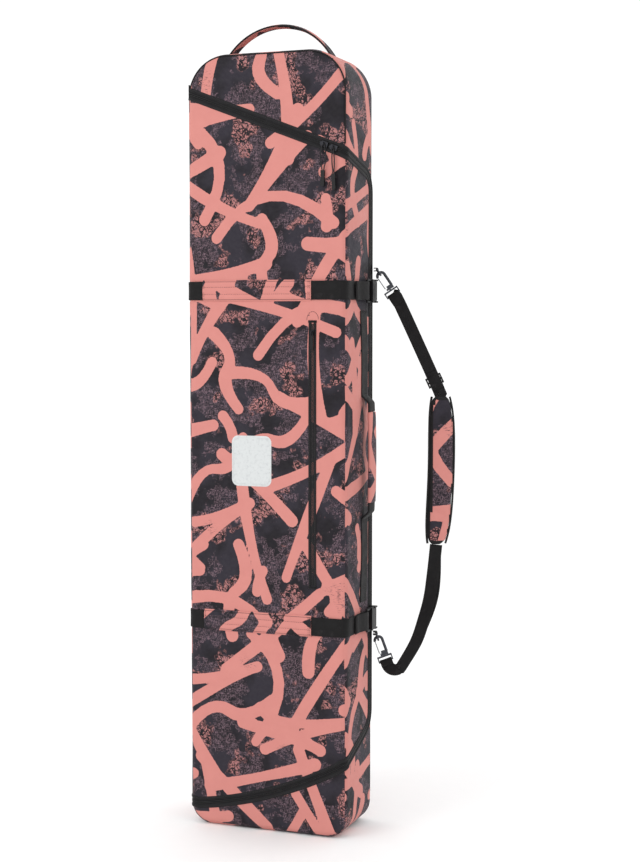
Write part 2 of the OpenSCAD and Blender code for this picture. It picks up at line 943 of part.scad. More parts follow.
// Ring: a bar that the webbing loop holds, and a bow towards the hook. turn tips the bow down.
module ring(z, turn) {
    h = ring_w / 2 + ring_r;
    translate([ring_out, 0, z]) rotate([0, -turn, 0]) {
        rotate([90, 0, 0]) cylinder(r = ring_r, h = 2 * h, center = true, $fn = 32);
        for (s = [-1, 1]) translate([0, s * h, 0]) rotate([0, 90, 0])
            cylinder(r = ring_r, h = ring_deep, $fn = 32);
        translate([ring_deep, 0, 0]) rotate([90, 0, 0])
            cylinder(r = ring_r, h = 2 * h, center = true, $fn = 32);
        for (s = [-1, 1], x = [0, ring_deep]) translate([x, s * h, 0]) sphere(r = ring_r, $fn = 32);
    }
}

module rings() {
    color("dimgray") at_shoulder() {
        ring(upper_ring_z, upper_pull);
        ring(lower_ring_z, lower_pull);
    }
}

loop_w = ring_w - 3;
loop_t = 1.8;

// Loop of webbing round a ring's bar, with its two ends going back to the bag
module ring_loop(z) {
    r0 = ring_r + gap;
    translate([0, 0, z]) rotate([90, 0, 0]) linear_extrude(loop_w, center = true) {
        difference() {
            translate([ring_out, 0]) circle(r = r0 + loop_t, $fn = 40);
            translate([ring_out, 0]) circle(r = r0, $fn = 40);
            translate([ring_out - 20, -r0]) square([20, 2 * r0]);
        }
        for (s = [-1, 1]) translate([1, s * (r0 + loop_t / 2) - loop_t / 2])
            square([ring_out - 1, loop_t]);
    }
}

module ring_loops() {
    color(black) at_shoulder() {
        ring_loop(upper_ring_z);
        ring_loop(lower_ring_z);
    }
}

tab_h = 2 * (ring_r + gap + loop_t);

// Webbing that anchors the loops on the bag's back right edge
module ring_tabs() {
    color(black) for (z = [upper_ring_z, lower_ring_z])
        difference() {
            intersection() {
                layer(-3.6, 0);
                slab(z, tab_h + 6);
                translate([half_w - 60, zip_y + 2, 0]) cube([far, far, far]);
            }
            intersection() {
                form(-strap_out - gap);
                union() {
                    slab(upper_z, strap_w + 2 * gap);
                    slab(lower_z, strap_w + 2 * gap);
                }
            }
        }
}

hook_r = 3;
bow_r = 8;
// The ring's wire lies near the bow's crown, this far from the bow's middle
hook_slack = 2.6;
eye_bar_l = shoulder_w + 6;

// What follows is drawn with X along a hook, from the middle of its bow to its swivel
module at_hook(z, turn) {
    at_shoulder() translate([ring_out, 0, z]) rotate([0, -turn, 0])
        translate([ring_deep + hook_slack, 0, 0]) children();
}

// Hook: an open bow round the ring, a straight back and a socket for the swivel's stem
module hook() {
    rotate([90, 0, 0]) rotate([0, 0, 90]) rotate_extrude(angle = 180, $fn = 64)
        translate([bow_r, 0]) circle(r = hook_r, $fn = 32);
    translate([0, 0, bow_r]) rotate([0, 90, 0]) cylinder(r = hook_r, h = hook_l - 6, $fn = 32);
    difference() {
        translate([hook_l - 9, -4.2, -bow_r + 1]) cube([9, 8.4, 2 * bow_r + 1]);
        translate([hook_l - 10, 0, 0]) rotate([0, 90, 0]) cylinder(r = stem_r + 0.08, h = 12, $fn = 32);
        translate([hook_l - 12, 0, 0]) rotate([0, 90, 0]) cylinder(r = stem_r + 1.6, h = 6, $fn = 32);
        translate([hook_l - 9.5, -5, -bow_r]) cube([5.5, 10, 4.2]);
    }
}

stem_r = 1.8;

module upper_hook() { color("dimgray") at_hook(upper_ring_z, upper_pull) hook(); }

module lower_hook() { color("dimgray") at_hook(lower_ring_z, lower_pull) hook(); }

gate_x0 = 0.6;
gate_x1 = hook_l - 5.6;

// Sprung wire gate, from its pivot by the swivel to the bow's end
module gate() {
    translate([gate_x0, 0, -bow_r]) rotate([0, 90, 0]) cylinder(r = 1.2, h = gate_x1 - gate_x0, $fn = 24);
}

module upper_gate() { color("silver") at_hook(upper_ring_z, upper_pull) gate(); }

module lower_gate() { color("silver") at_hook(lower_ring_z, lower_pull) gate(); }

// Eye that the webbing passes through, with the stem that turns in the hook
module swivel_eye() {
    w = eye_bar_l;
    translate([hook_l - 7.6, 0, 0]) rotate([0, 90, 0]) cylinder(r = stem_r, h = 10, $fn = 32);
    translate([hook_l - 7.6, 0, 0]) rotate([0, 90, 0]) cylinder(r = stem_r + 1.2, h = 1.2, $fn = 32);
    translate([hook_l + 1, -2, -w / 2]) cube([3.5, 4, w]);
    translate([hook_l + 13, 0, -w / 2]) cylinder(r = 2, h = w, $fn = 32);
    for (s = [-1, 1]) translate([hook_l + 1, -2, s * (w / 2 - 1.25) - 1.25]) cube([12, 4, 2.5]);
}

module swivel_eyes() {
    color("dimgray") {
        at_hook(upper_ring_z, upper_pull) swivel_eye();
        at_hook(lower_ring_z, lower_pull) swivel_eye();
    }
}

pad_drop = 37;
pad_mid_z = (upper_ring_z + lower_ring_z) / 2 - pad_drop;
pad_z0 = pad_mid_z - pad_l / 2;
pad_z1 = pad_mid_z + pad_l / 2;

// Middle of the pad's width and half that width, where t runs from -1 at its bottom to 1 at its top
function pad_mid_x(t) = pad_out - pad_bulge * (0.6 * t * t - 0.4 * t);
function pad_half(t) = (pad_end_w + (pad_w - pad_end_w) * (1 - pow(abs(t), 5))) / 2;

// Where a hook's frame puts a point at a distance along the hook, in X and Z of the strap's plane
function on_hook(z, turn, s) =
    [ring_out + (ring_deep + hook_slack + s) * cos(turn), z + (ring_deep + hook_slack + s) * sin(turn)];

eye_s = hook_l + 13;
fold_l = 22;
low_fold_l = 10;

// Tight bend of the lower webbing, from the hook's direction round to the rise to the pad
low_bend_r = 17;
low_bend_end = 50;

// A point of that bend at a direction the webbing has there
function low_bend(a) =
    let (start = on_hook(lower_ring_z, lower_pull, eye_s + low_fold_l - 1))
    start + low_bend_r * [sin(a) - sin(lower_pull), cos(lower_pull) - cos(a)];

upper_route = [
    on_hook(upper_ring_z, upper_pull, eye_s + fold_l),
    [pad_mid_x(1) - 6, pad_z1 + 14],
    [pad_mid_x(1), pad_z1 - 2]];

pad_rise = pad_z0 - lower_ring_z;

lower_route = concat(
    [for (i = [0:8]) low_bend(lower_pull + (low_bend_end - lower_pull) * i / 8)],
    [[92, lower_ring_z - 18], [109, lower_ring_z + 0.18 * pad_rise],
     [120, lower_ring_z + 0.42 * pad_rise], [127, lower_ring_z + 0.7 * pad_rise],
     [pad_mid_x(-1), pad_z0 + 2]]);

// Outline of a band of one width along a route
function band_outline(route, w) =
    let (n = len(route),
         dirs = [for (i = [0:n - 1])
             let (d = route[min(i + 1, n - 1)] - route[max(i - 1, 0)]) d / norm(d)])
    concat([for (i = [0:n - 1]) route[i] + w / 2 * [-dirs[i][1], dirs[i][0]]],
           [for (i = [n - 1:-1:0]) route[i] - w / 2 * [-dirs[i][1], dirs[i][0]]]);

module band(route, w, t) {
    at_shoulder() rotate([90, 0, 0]) linear_extrude(t, center = true) polygon(band_outline(route, w));
}

// Webbing folded round a swivel eye's bar, and sewn to itself
module eye_fold(l) {
    r0 = 2 + gap / 2;
    r1 = r0 + shoulder_t / 2;
    translate([eye_s, 0, 0]) linear_extrude(shoulder_w, center = true) {
        difference() {
            circle(r = r1, $fn = 40);
            circle(r = r0, $fn = 40);
            translate([0, -10]) square([10, 20]);
        }
        for (s = [-1, 1]) polygon([[0, s * r0], [0, s * r1], [l, s * shoulder_t / 2], [l, 0], [l - 4, 0]]);
    }
}

module shoulder_webbing() {
    color(black) {
        at_hook(upper_ring_z, upper_pull) eye_fold(fold_l);
        at_hook(lower_ring_z, lower_pull) eye_fold(low_fold_l);
        band(upper_route, shoulder_w, shoulder_t);
        band(lower_route, shoulder_w, shoulder_t);
    }
}

adjuster_w = shoulder_w + 8;
adjuster_l = 22;
// From the adjuster's middle down to the bend by the pad
adjuster_up = 16;

// Three-bar adjuster near the pad, with the webbing through its two slots
module strap_adjuster() {
    route_dir = upper_route[1] - upper_route[0];
    middle = upper_route[1] - adjuster_up * route_dir / norm(route_dir);
    color([0.12, 0.12, 0.13]) at_shoulder()
        translate([middle[0], 0, middle[1]])
        rotate([0, -atan2(route_dir[1], route_dir[0]), 0]) {
            for (s = [-1, 1]) translate([-adjuster_l / 2, -3, s * (adjuster_w / 2 - 1.6) - 1.6])
                cube([adjuster_l, 6, 3.2]);
            for (x = [-adjuster_l / 2 + 2, adjuster_l / 2 - 2])
                translate([x, 3.4, -adjuster_w / 2]) cylinder(r = 2, h = adjuster_w, $fn = 32);
            translate([0, -3.4, -adjuster_w / 2]) cylinder(r = 2, h = adjuster_w, $fn = 32);
        }
}

// Slots in the pad's two ends, which the webbing goes into
pad_slot_deep = 9;
pad_slot_side = 4;

module shoulder_pad() {
    steps = [for (i = [0:12]) -1 + i / 6];
    right = [for (t = steps) [pad_mid_x(t) + pad_half(t), pad_mid_z + t * pad_l / 2]];
    left = [for (i = [12:-1:0]) [pad_mid_x(steps[i]) - pad_half(steps[i]), pad_mid_z + steps[i] * pad_l / 2]];
    color(print_pink) at_shoulder() rotate([90, 0, 0]) difference() {
        linear_extrude(pad_t, center = true) polygon(concat(right, left));
        for (s = [-1, 1])
            translate([pad_mid_x(s) - shoulder_w / 2 - pad_slot_side, pad_mid_z + s * pad_l / 2 - pad_slot_deep,
                       -shoulder_t / 2])
                cube([shoulder_w + 2 * pad_slot_side, 2 * pad_slot_deep, shoulder_t]);
    }
}

// ---- Badge ----

badge_t = 0.6;
badge_r = 14;

module badge() {
    color("white") translate([-badge_left, -half_d, mid_z - 7]) rotate([90, 0, 0]) linear_extrude(badge_t) {
        translate([-badge_w / 2 + badge_r, -badge_h / 2]) square([badge_w - 2 * badge_r, badge_h]);
        translate([-badge_w / 2, -badge_h / 2 + badge_r]) square([badge_w, badge_h - 2 * badge_r]);
        for (x = [-1, 1], z = [-1, 1])
            translate([x * (badge_w / 2 - badge_r), z * (badge_h / 2 - badge_r)]) circle(r = badge_r, $fn = 48);
    }
}

back_panel();
top_gusset();
bottom_gusset();
front_top_panel();
front_bottom_panel();
back_foam();
top_foam();
bottom_foam();
shell_lining();
front_panel();
left_gusset();
right_gusset();
door_foam();
door_lining();
shell_zip_tape();
door_zip_tape();
shell_zip_coil();
door_zip_coil();
slider_left();
slider_right();
pull_cord_left();
pull_cord_right();
pull_tip_left();
pull_tip_right();
pocket_zip_tape();
pocket_zip_coil();
pocket_slider();
pocket_pull();
pocket_pouch();
upper_strap();
lower_strap();
strap_sleeves();
upper_anchor_web();
lower_anchor_web();
upper_socket();
lower_socket();
upper_plug();
lower_plug();
upper_tail();
lower_tail();
upper_plug_arm_high();
upper_plug_arm_low();
lower_plug_arm_high();
lower_plug_arm_low();
top_handle();
top_handle_ends();
side_grip();
side_grip_web();
ring_tabs();
ring_loops();
rings();
upper_hook();
lower_hook();
upper_gate();
lower_gate();
swivel_eyes();
shoulder_webbing();
strap_adjuster();
shoulder_pad();
badge();
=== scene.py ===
import bpy
import math
import random
import numpy as np
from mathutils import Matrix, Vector, noise


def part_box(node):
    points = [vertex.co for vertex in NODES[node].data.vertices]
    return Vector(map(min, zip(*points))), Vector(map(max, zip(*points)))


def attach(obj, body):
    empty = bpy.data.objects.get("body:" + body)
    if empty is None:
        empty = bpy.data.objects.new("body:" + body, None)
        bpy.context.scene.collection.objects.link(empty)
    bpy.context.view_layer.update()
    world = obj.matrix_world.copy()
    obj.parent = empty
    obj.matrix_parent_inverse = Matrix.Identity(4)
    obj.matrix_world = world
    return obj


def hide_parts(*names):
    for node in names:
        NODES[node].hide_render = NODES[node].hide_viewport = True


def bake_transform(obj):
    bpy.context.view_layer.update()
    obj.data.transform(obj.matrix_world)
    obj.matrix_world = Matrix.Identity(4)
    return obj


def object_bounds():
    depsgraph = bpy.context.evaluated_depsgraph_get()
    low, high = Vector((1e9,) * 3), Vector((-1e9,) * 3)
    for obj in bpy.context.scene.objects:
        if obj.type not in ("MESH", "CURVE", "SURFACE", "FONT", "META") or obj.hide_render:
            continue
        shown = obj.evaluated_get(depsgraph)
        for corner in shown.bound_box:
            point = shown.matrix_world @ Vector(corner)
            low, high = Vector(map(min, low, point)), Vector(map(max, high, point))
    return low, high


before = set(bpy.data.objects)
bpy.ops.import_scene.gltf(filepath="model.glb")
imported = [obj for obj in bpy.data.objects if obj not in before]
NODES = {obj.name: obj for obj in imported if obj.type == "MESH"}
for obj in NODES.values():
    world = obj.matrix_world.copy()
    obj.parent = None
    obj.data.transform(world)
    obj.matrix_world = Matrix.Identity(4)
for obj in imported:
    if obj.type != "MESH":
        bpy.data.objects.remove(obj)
cad_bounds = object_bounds()
MM = 0.001

# ---------------------------------------------------------------- sizes, from the CAD boxes

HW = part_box("right_gusset")[1].x
FRONT_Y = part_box("front_panel")[0].y
TOP_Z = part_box("top_gusset")[1].z
UPPER_Z = (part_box("upper_strap")[0].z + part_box("upper_strap")[1].z) / 2
LOWER_Z = (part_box("lower_strap")[0].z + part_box("lower_strap")[1].z) / 2
STRAP_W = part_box("upper_strap")[1].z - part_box("upper_strap")[0].z
MID_Z = (UPPER_Z + LOWER_Z) / 2
HD = -FRONT_Y
TOP_R, LOW_R, EDGE_R = 0.085, 0.045, 0.014
WALL = 0.0092
FLAT = HW - EDGE_R
SIDE0 = FLAT + EDGE_R * math.pi / 2
SIDE1 = SIDE0 + 2 * (HD - EDGE_R)
BACK0 = SIDE1 + EDGE_R * math.pi / 2
ZIP_Y = 0.065
BAND = 0.012
# The upper zip's line and its fall to the back, and the lower zip's curve and its rise
TOP_MID, TOP_SLOPE, TOP_FALL = 1.458, 0.382857, 0.25
LOW_L, LOW_RIGHT, LOW_SAG, LOW_RISE = 0.042, 0.156, 0.020, 0.38
ZIP_R = 0.045

# ---------------------------------------------------------------- camera and light

AZ = math.radians(21.08)
DIST, CAM_H, PITCH, SIDEWAYS, LENS = 3.44, 1.054, math.radians(3.76), 0.082, 68.9
cam_data = bpy.data.cameras.new("camera")
cam = bpy.data.objects.new("camera", cam_data)
bpy.context.scene.collection.objects.link(cam)
cam.location = (math.sin(AZ) * DIST + math.cos(AZ) * SIDEWAYS,
                -math.cos(AZ) * DIST + math.sin(AZ) * SIDEWAYS, CAM_H)
cam.rotation_euler = (math.pi / 2 - PITCH, 0, AZ)
cam_data.sensor_width = 36
cam_data.lens = LENS
cam_data.clip_end = 60
bpy.context.scene.camera = cam

bpy.context.scene.view_settings.view_transform = "Standard"
world = bpy.data.worlds.new("studio")
bpy.context.scene.world = world
world.use_nodes = True
world.node_tree.nodes["Background"].inputs[0].default_value = (1, 1, 1, 1)
world.node_tree.nodes["Background"].inputs[1].default_value = 1.08


def area_light(name, where, target, size, power):
    data = bpy.data.lights.new(name, "AREA")
    data.shape = "RECTANGLE"
    data.size, data.size_y = size
    data.energy = power
    o = bpy.data.objects.new(name, data)
    bpy.context.scene.collection.objects.link(o)
    o.location = where
    o.rotation_euler = (Vector(target) - Vector(where)).to_track_quat("-Z", "Y").to_euler()


area_light("key", (-1.7, -3.0, 2.5), (0, 0, 0.85), (1.8, 2.4), 34)
area_light("fill", (2.9, -2.2, 1.5), (0, 0, 0.8), (1.6, 2.2), 5)
area_light("rim", (1.8, 2.4, 2.4), (0, 0, 0.9), (1.4, 2.0), 8)
area_light("lift", (-2.4, 2.0, 1.6), (0, 0, 0.8), (1.6, 2.2), 6)


# ---------------------------------------------------------------- node helpers


class Tree:
    """A material's node tree, with short calls for the nodes that are used again and again."""

    def __init__(self, name):
        self.mat = bpy.data.materials.new(name)
        self.mat.use_nodes = True
        self.t = self.mat.node_tree
        self.bsdf = self.t.nodes["Principled BSDF"]

    def put(self, kind, links=(), **props):
        n = self.t.nodes.new(kind)
        for k, v in props.items():
            setattr(n, k, v)
        for socket, value in dict(links).items():
            self.to(n.inputs[socket], value)
        return n

    def to(self, socket, value):
        if hasattr(value, "is_linked"):
            self.t.links.new(value, socket)
        elif isinstance(value, (tuple, list)) and socket.type == "RGBA" and len(value) == 3:
            socket.default_value = (*value, 1)
        else:
            socket.default_value = value

    def math(self, op, a, b=0.0, c=0.0):
        n = self.put("ShaderNodeMath", operation=op)
        for i, v in enumerate((a, b, c)):
            self.to(n.inputs[i], v)
        return n.outputs[0]

    def ramp(self, value, lo, hi, out0=0.0, out1=1.0):
        n = self.put("ShaderNodeMapRange", interpolation_type="SMOOTHSTEP")
        for i, v in enumerate((value, lo, hi, out0, out1)):
            self.to(n.inputs[i], v)
        return n.outputs[0]

    def mix(self, f, a, b):
        n = self.put("ShaderNodeMix", data_type="RGBA")
        self.to(n.inputs["Factor"], f)
        self.to(n.inputs[6], a)
        self.to(n.inputs[7], b)
        return n.outputs[2]

    def uv(self, name="cloth"):
        return self.put("ShaderNodeUVMap", uv_map=name).outputs[0]

    def obj(self):
        return self.put("ShaderNodeTexCoord").outputs["Object"]

    def scaled(self, vec, s):
        n = self.put("ShaderNodeVectorMath", operation="MULTIPLY")
        self.to(n.inputs[0], vec)
        self.to(n.inputs[1], s)
        return n.outputs[0]

    def noise(self, vec, scale, detail=2.0, rough=0.5, distort=0.0):
        n = self.put("ShaderNodeTexNoise")
        self.to(n.inputs["Vector"], vec)
        n.inputs["Scale"].default_value = scale
        n.inputs["Detail"].default_value = detail
        n.inputs["Roughness"].default_value = rough
        n.inputs["Distortion"].default_value = distort
        return n.outputs["Fac"]

    def turned(self, vec, degrees):
        n = self.put("ShaderNodeVectorRotate", rotation_type="Z_AXIS")
        self.to(n.inputs["Vector"], vec)
        n.inputs["Angle"].default_value = math.radians(degrees)
        return n.outputs[0]

    def contour(self, vec, scale, thick):
        """Thin wandering lines, where a smooth noise crosses its middle."""
        off = self.math("ABSOLUTE", self.math("SUBTRACT", self.noise(vec, scale, 1.0, 0.4), 0.5))
        return self.ramp(off, thick * scale * 0.4, thick * scale * 0.8, 1.0, 0.0)

    def edges(self, vec, scale):
        n = self.put("ShaderNodeTexVoronoi", feature="DISTANCE_TO_EDGE")
        self.to(n.inputs["Vector"], vec)
        n.inputs["Scale"].default_value = scale
        return n.outputs["Distance"]

    def wave(self, value, period, phase=0.0):
        """A sine between 0 and 1 along a value in metres."""
        return self.math("MULTIPLY_ADD", self.math("SINE", self.math(
            "MULTIPLY_ADD", value, 2 * math.pi / period, phase)), 0.5, 0.5)

    def bump(self, height, strength, distance):
        n = self.put("ShaderNodeBump")
        n.inputs["Strength"].default_value = strength
        n.inputs["Distance"].default_value = distance
        self.to(n.inputs["Height"], height)
        self.to(self.bsdf.inputs["Normal"], n.outputs[0])

    def finish(self, color, rough, sheen=0.0, metal=0.0, spec=0.5, coat=0.0):
        b = self.bsdf.inputs
        self.to(b["Base Color"], color)
        self.to(b["Roughness"], rough)
        b["Metallic"].default_value = metal
        b["Specular IOR Level"].default_value = spec
        b["Sheen Weight"].default_value = sheen
        b["Sheen Roughness"].default_value = 0.4
        b["Coat Weight"].default_value = coat
        return self.mat


def srgb(r, g, b):
    f = lambda c: c / 255 / 12.92 if c / 255 <= 0.04045 else ((c / 255 + 0.055) / 1.055) ** 2.4
    return (f(r), f(g), f(b))


def weave_height(t, uv, pitch):
    """Height of a plain weave: two sets of threads, over and under each other."""
    sep = t.put("ShaderNodeSeparateXYZ", {0: uv})
    a = t.wave(sep.outputs[0], pitch)
    b = t.wave(sep.outputs[1], pitch, math.pi / 2)
    return t.math("ADD", a, b)


def print_material():
    """Charcoal cloth, scratched through in patches, with thin black scribble and thick pink brush strokes."""
    t = Tree("print_fabric_cloth")
    uv = t.uv()
    ink = t.put("ShaderNodeAttribute", attribute_name="ink").outputs["Fac"]
    coal, night = srgb(42, 38, 47), srgb(24, 20, 26)
    mauve, dusty = srgb(124, 100, 110), srgb(176, 118, 115)
    grain = t.ramp(t.noise(uv, 330.0, 3.0, 0.7), 0.36, 0.5)
    # Patches of short upright, level and slanting scratches, with plain charcoal between them
    patch = t.ramp(t.noise(uv, 13.0, 4.0, 0.62), 0.485, 0.515)
    upright = t.ramp(t.noise(t.scaled(uv, (760, 95, 1)), 1.0, 3.0, 0.6), 0.53, 0.57)
    level = t.ramp(t.noise(t.scaled(uv, (85, 640, 1)), 1.0, 3.0, 0.6), 0.54, 0.58)
    slant = t.ramp(t.noise(t.scaled(t.turned(uv, 38), (720, 80, 1)), 1.0, 3.0, 0.6), 0.58, 0.62)
    scratch = t.math("MAXIMUM", t.math("MAXIMUM", upright, level), slant)
    scratch = t.math("MULTIPLY", t.math("MULTIPLY", scratch, patch), grain)
    base = t.mix(t.ramp(t.noise(uv, 12.0, 2.0, 0.5), 0.4, 0.62), coal, night)
    base = t.mix(t.math("MULTIPLY", scratch, 0.85), base, mauve)
    # Fewer, warmer patches, dry brushed, with black scribble over them
    warm = t.ramp(t.noise(t.turned(uv, 70), 15.0, 3.0, 0.55), 0.565, 0.6)
    dry = t.ramp(t.noise(t.scaled(t.turned(uv, -25), (420, 130, 1)), 1.0, 4.0, 0.7), 0.44, 0.5)
    base = t.mix(t.math("MULTIPLY", t.math("MULTIPLY", warm, dry), 0.9), base, dusty)
    line = t.math("MAXIMUM", t.contour(uv, 52.0, 0.0007), t.contour(t.turned(uv, 50), 70.0, 0.0006))
    line = t.math("MAXIMUM", line, t.contour(t.scaled(uv, (1.0, 2.1, 1)), 40.0, 0.0008))
    near = t.math("MAXIMUM", warm, t.math("MULTIPLY", patch, 0.6))
    base = t.mix(t.math("MULTIPLY", line, near), base, night)
    # Brush strokes: a crisp edge with a slightly ragged outline, and a few dry bristle marks
    ragged = t.math("SUBTRACT", t.noise(uv, 240.0, 3.0, 0.6), 0.5)
    edge = t.math("MULTIPLY_ADD", ragged, 0.0024, ink)
    stroke = t.ramp(edge, 0.0003, -0.0003)
    worn = t.math("MULTIPLY", t.ramp(t.noise(uv, 9.0, 1.0, 0.5), 0.66, 0.72),
                  t.ramp(t.noise(t.scaled(uv, (110, 420, 1)), 1.0, 4.0, 0.7), 0.54, 0.6))
    stroke = t.math("MULTIPLY", stroke, t.math("SUBTRACT", 1.0, t.math("MULTIPLY", worn, 0.8)))
    tone = t.mix(t.noise(uv, 34.0, 3.0, 0.5), srgb(205, 134, 126), srgb(197, 126, 119))
    color = t.mix(stroke, base, tone)
    height = weave_height(t, uv, 0.0011)
    height = t.math("ADD", height, t.math("MULTIPLY", t.noise(uv, 900.0, 2.0), 0.8))
    t.bump(height, 0.32, 0.00018)
    rough = t.ramp(t.noise(uv, 120.0, 3.0), 0.3, 0.7, 0.62, 0.78)
    return t.finish(color, rough, sheen=0.05, spec=0.25)


def cloth_material(name, color, pitch, rough=0.8, quilt=0.0, sheen=0.1):
    t = Tree(name)
    uv = t.uv()
    sep = t.put("ShaderNodeSeparateXYZ", {0: uv})
    height = weave_height(t, uv, pitch)
    if quilt:
        a = t.wave(t.math("ADD", sep.outputs[0], sep.outputs[1]), quilt)
        b = t.wave(t.math("SUBTRACT", sep.outputs[0], sep.outputs[1]), quilt)
        seam = t.math("MINIMUM", t.ramp(a, 0.0, 0.12), t.ramp(b, 0.0, 0.12))
        height = t.math("MULTIPLY_ADD", seam, 9.0, height)
    worn = t.noise(uv, 75.0, 4.0, 0.6)
    shade = t.mix(t.ramp(worn, 0.35, 0.7), color, tuple(min(1, c * 1.5 + 0.004) for c in color))
    t.bump(height, 0.4, 0.0003)
    return t.finish(shade, t.ramp(worn, 0.3, 0.7, rough, min(1, rough + 0.12)), sheen=sheen, spec=0.3)


def webbing_material():
    """Ribbed black webbing: fine rib lines across it, crossed by lengthwise threads; its colour is darker in the rib
    valleys and lighter on the crests, which is painted shade and painted highlight.
    """
    t = Tree("webbing_ribbed")
    uv = t.uv()
    sep = t.put("ShaderNodeSeparateXYZ", {0: uv})
    rib_wave_and_shade = t.wave(sep.outputs[0], 0.0024)
    threads = t.wave(sep.outputs[1], 0.0018)
    height = t.math("ADD", rib_wave_and_shade, t.math("MULTIPLY", threads, 0.55))
    height = t.math("ADD", height, t.math("MULTIPLY", t.noise(uv, 700.0, 3.0), 0.6))
    dust = t.noise(uv, 48.0, 4.0, 0.6)
    # Painted shade and highlight: the colour darkens in the rib valleys and lightens on the rib crests, following the
    # rib height wave.
    shade = t.mix(t.math("MULTIPLY", rib_wave_and_shade, 0.5), srgb(14, 13, 14), srgb(30, 28, 29))
    shade = t.mix(t.ramp(dust, 0.55, 0.75), shade, srgb(36, 34, 35))
    t.bump(height, 0.5, 0.0005)
    return t.finish(shade, t.ramp(dust, 0.3, 0.7, 0.62, 0.8), sheen=0.05, spec=0.2)


def plastic_material(name, color, rough, grain, spec=0.5, coat=0.0, metal=0.0):
    t = Tree(name)
    p = t.obj()
    fine = t.noise(p, grain, 3.0, 0.6)
    marks = t.noise(t.scaled(p, (140, 140, 900)), 1.0, 3.0, 0.7)
    height = t.math("MULTIPLY_ADD", t.ramp(marks, 0.6, 0.75), 0.6, fine)
    t.bump(height, 0.25, 0.00012)
    wear = t.ramp(t.noise(p, 60.0, 4.0, 0.7), 0.5, 0.75)
    shade = t.mix(t.math("MULTIPLY", wear, 0.5), color, tuple(min(1, c * 1.7 + 0.01) for c in color))
    return t.finish(shade, t.ramp(fine, 0.3, 0.7, rough, rough + 0.12), spec=spec, coat=coat, metal=metal)


M_PRINT = print_material()
M_LINING = cloth_material("lining_quilted", srgb(58, 57, 62), 0.0013, quilt=0.085)
M_BINDING = cloth_material("binding_tape", srgb(17, 16, 17), 0.0012, rough=0.72, sheen=0.04)
M_TAPE = cloth_material("zip_tape_cloth", srgb(17, 16, 18), 0.0010, rough=0.7, sheen=0.04)
M_WEB = webbing_material()
M_THREAD = cloth_material("thread", srgb(38, 34, 38), 0.0006, rough=0.6)
M_COIL = plastic_material("zip_coil_nylon", srgb(13, 12, 14), 0.38, 900.0, spec=0.3)
M_SLIDER = plastic_material("slider_metal_black", srgb(40, 40, 44), 0.28, 500.0, metal=0.85)
M_RUBBER = plastic_material("moulded_rubber_tip", srgb(17, 16, 18), 0.5, 1300.0, spec=0.3)
M_BUCKLE = plastic_material("buckle_plastic_moulded", srgb(16, 15, 17), 0.36, 1100.0, spec=0.3)
M_HOOK = plastic_material("dark_metal_hook", srgb(66, 68, 73), 0.3, 420.0, metal=0.9)
M_WIRE = plastic_material("bright_wire_steel", srgb(158, 160, 163), 0.2, 380.0, metal=1.0)
M_CORD = cloth_material("cord_braid", srgb(24, 23, 25), 0.0009, rough=0.6)

NODE_MATERIALS = {
    M_SLIDER: ["slider_left", "slider_right", "pocket_slider"],
    M_RUBBER: ["pull_tip_left", "pull_tip_right", "pocket_pull"],
    M_BUCKLE: ["upper_socket", "lower_socket", "upper_plug", "lower_plug", "strap_adjuster",
               "upper_plug_arm_high", "upper_plug_arm_low", "lower_plug_arm_high", "lower_plug_arm_low"],
    M_HOOK: ["rings", "upper_hook", "lower_hook", "swivel_eyes"],
    M_WIRE: ["upper_gate", "lower_gate"],
}
for material, names in NODE_MATERIALS.items():
    for name in names:
        for s in NODES[name].material_slots:
            s.material = material

# ---------------------------------------------------------------- brush strokes, as a distance field

rng = random.Random(41)


def bend(a, b, c, n=9):
    """Points along a quadratic curve from a to c, pulled towards b."""
    return [tuple((1 - t) ** 2 * a[k] + 2 * t * (1 - t) * b[k] + t * t * c[k] for k in (0, 1))
            for t in np.linspace(0, 1, n)]


def gesture():
    """Centre lines of one brush mark about the origin: a sweep, bow, wedge, step or dab."""
    j = lambda a: rng.uniform(-a, a)
    k = rng.choice(["sweep", "sweep", "sweep", "bow", "wedge", "wedge", "step", "dab"])
    if k == "sweep":
        return [bend((-1.1, j(0.1)), (0, j(0.26)), (1.1, j(0.1)))]
    if k == "bow":
        return [bend((-1.05, -0.3), (j(0.25), 0.8), (1.05, -0.3 + j(0.2)))]
    if k == "wedge":
        a = 0.17 + abs(j(0.1))
        return [bend((-0.85, 0), (0, 0.03), (0.85, a)), bend((-0.85, 0), (0, -0.03), (0.6, -a))]
    if k == "step":
        down = bend((0.05, 0.05), (0.12, -0.3), (0.8, -0.34), 7)
        return [bend((-0.7, 0.33), (-0.05, 0.4), (0.05, 0.05), 7) + down[1:]]
    return [bend((-0.24, 0), (0, 0.08), (0.24, j(0.1)), 4)]


def strokes(u1, v1, cell):
    """Capsules (ends and radii) of all marks over a cloth u1 by v1 metres."""
    out = []
    for row in range(int(v1 / cell) + 2):
        for col in range(int(u1 / cell) + 2):
            size = cell * rng.uniform(0.85, 1.2)
            lean = (22, 100, 58, 140)[(col + 2 * row + row // 2) % 4] + rng.uniform(-20, 20)
            turn = math.radians(lean + (180 if rng.random() < 0.5 else 0))
            cx = (col + rng.uniform(0.2, 0.8) - 0.5) * cell
            cy = (row + rng.uniform(0.2, 0.8) - 0.5) * cell
            r = rng.uniform(0.0106, 0.0134)
            for line in gesture():
                pts = [(cx + size * (x * math.cos(turn) - y * math.sin(turn)),
                        cy + size * (x * math.sin(turn) + y * math.cos(turn))) for x, y in line]
                swell, phase = rng.uniform(0.05, 0.16), rng.uniform(0, 6)
                radii = [r * (1 + swell * math.sin(phase + 0.7 * i)) for i in range(len(pts))]
                for i in range(len(pts) - 1):
                    out.append((*pts[i], *pts[i + 1], radii[i], radii[i + 1]))
    return np.array(out)


STROKES = strokes(1.1, 3.9, 0.106)


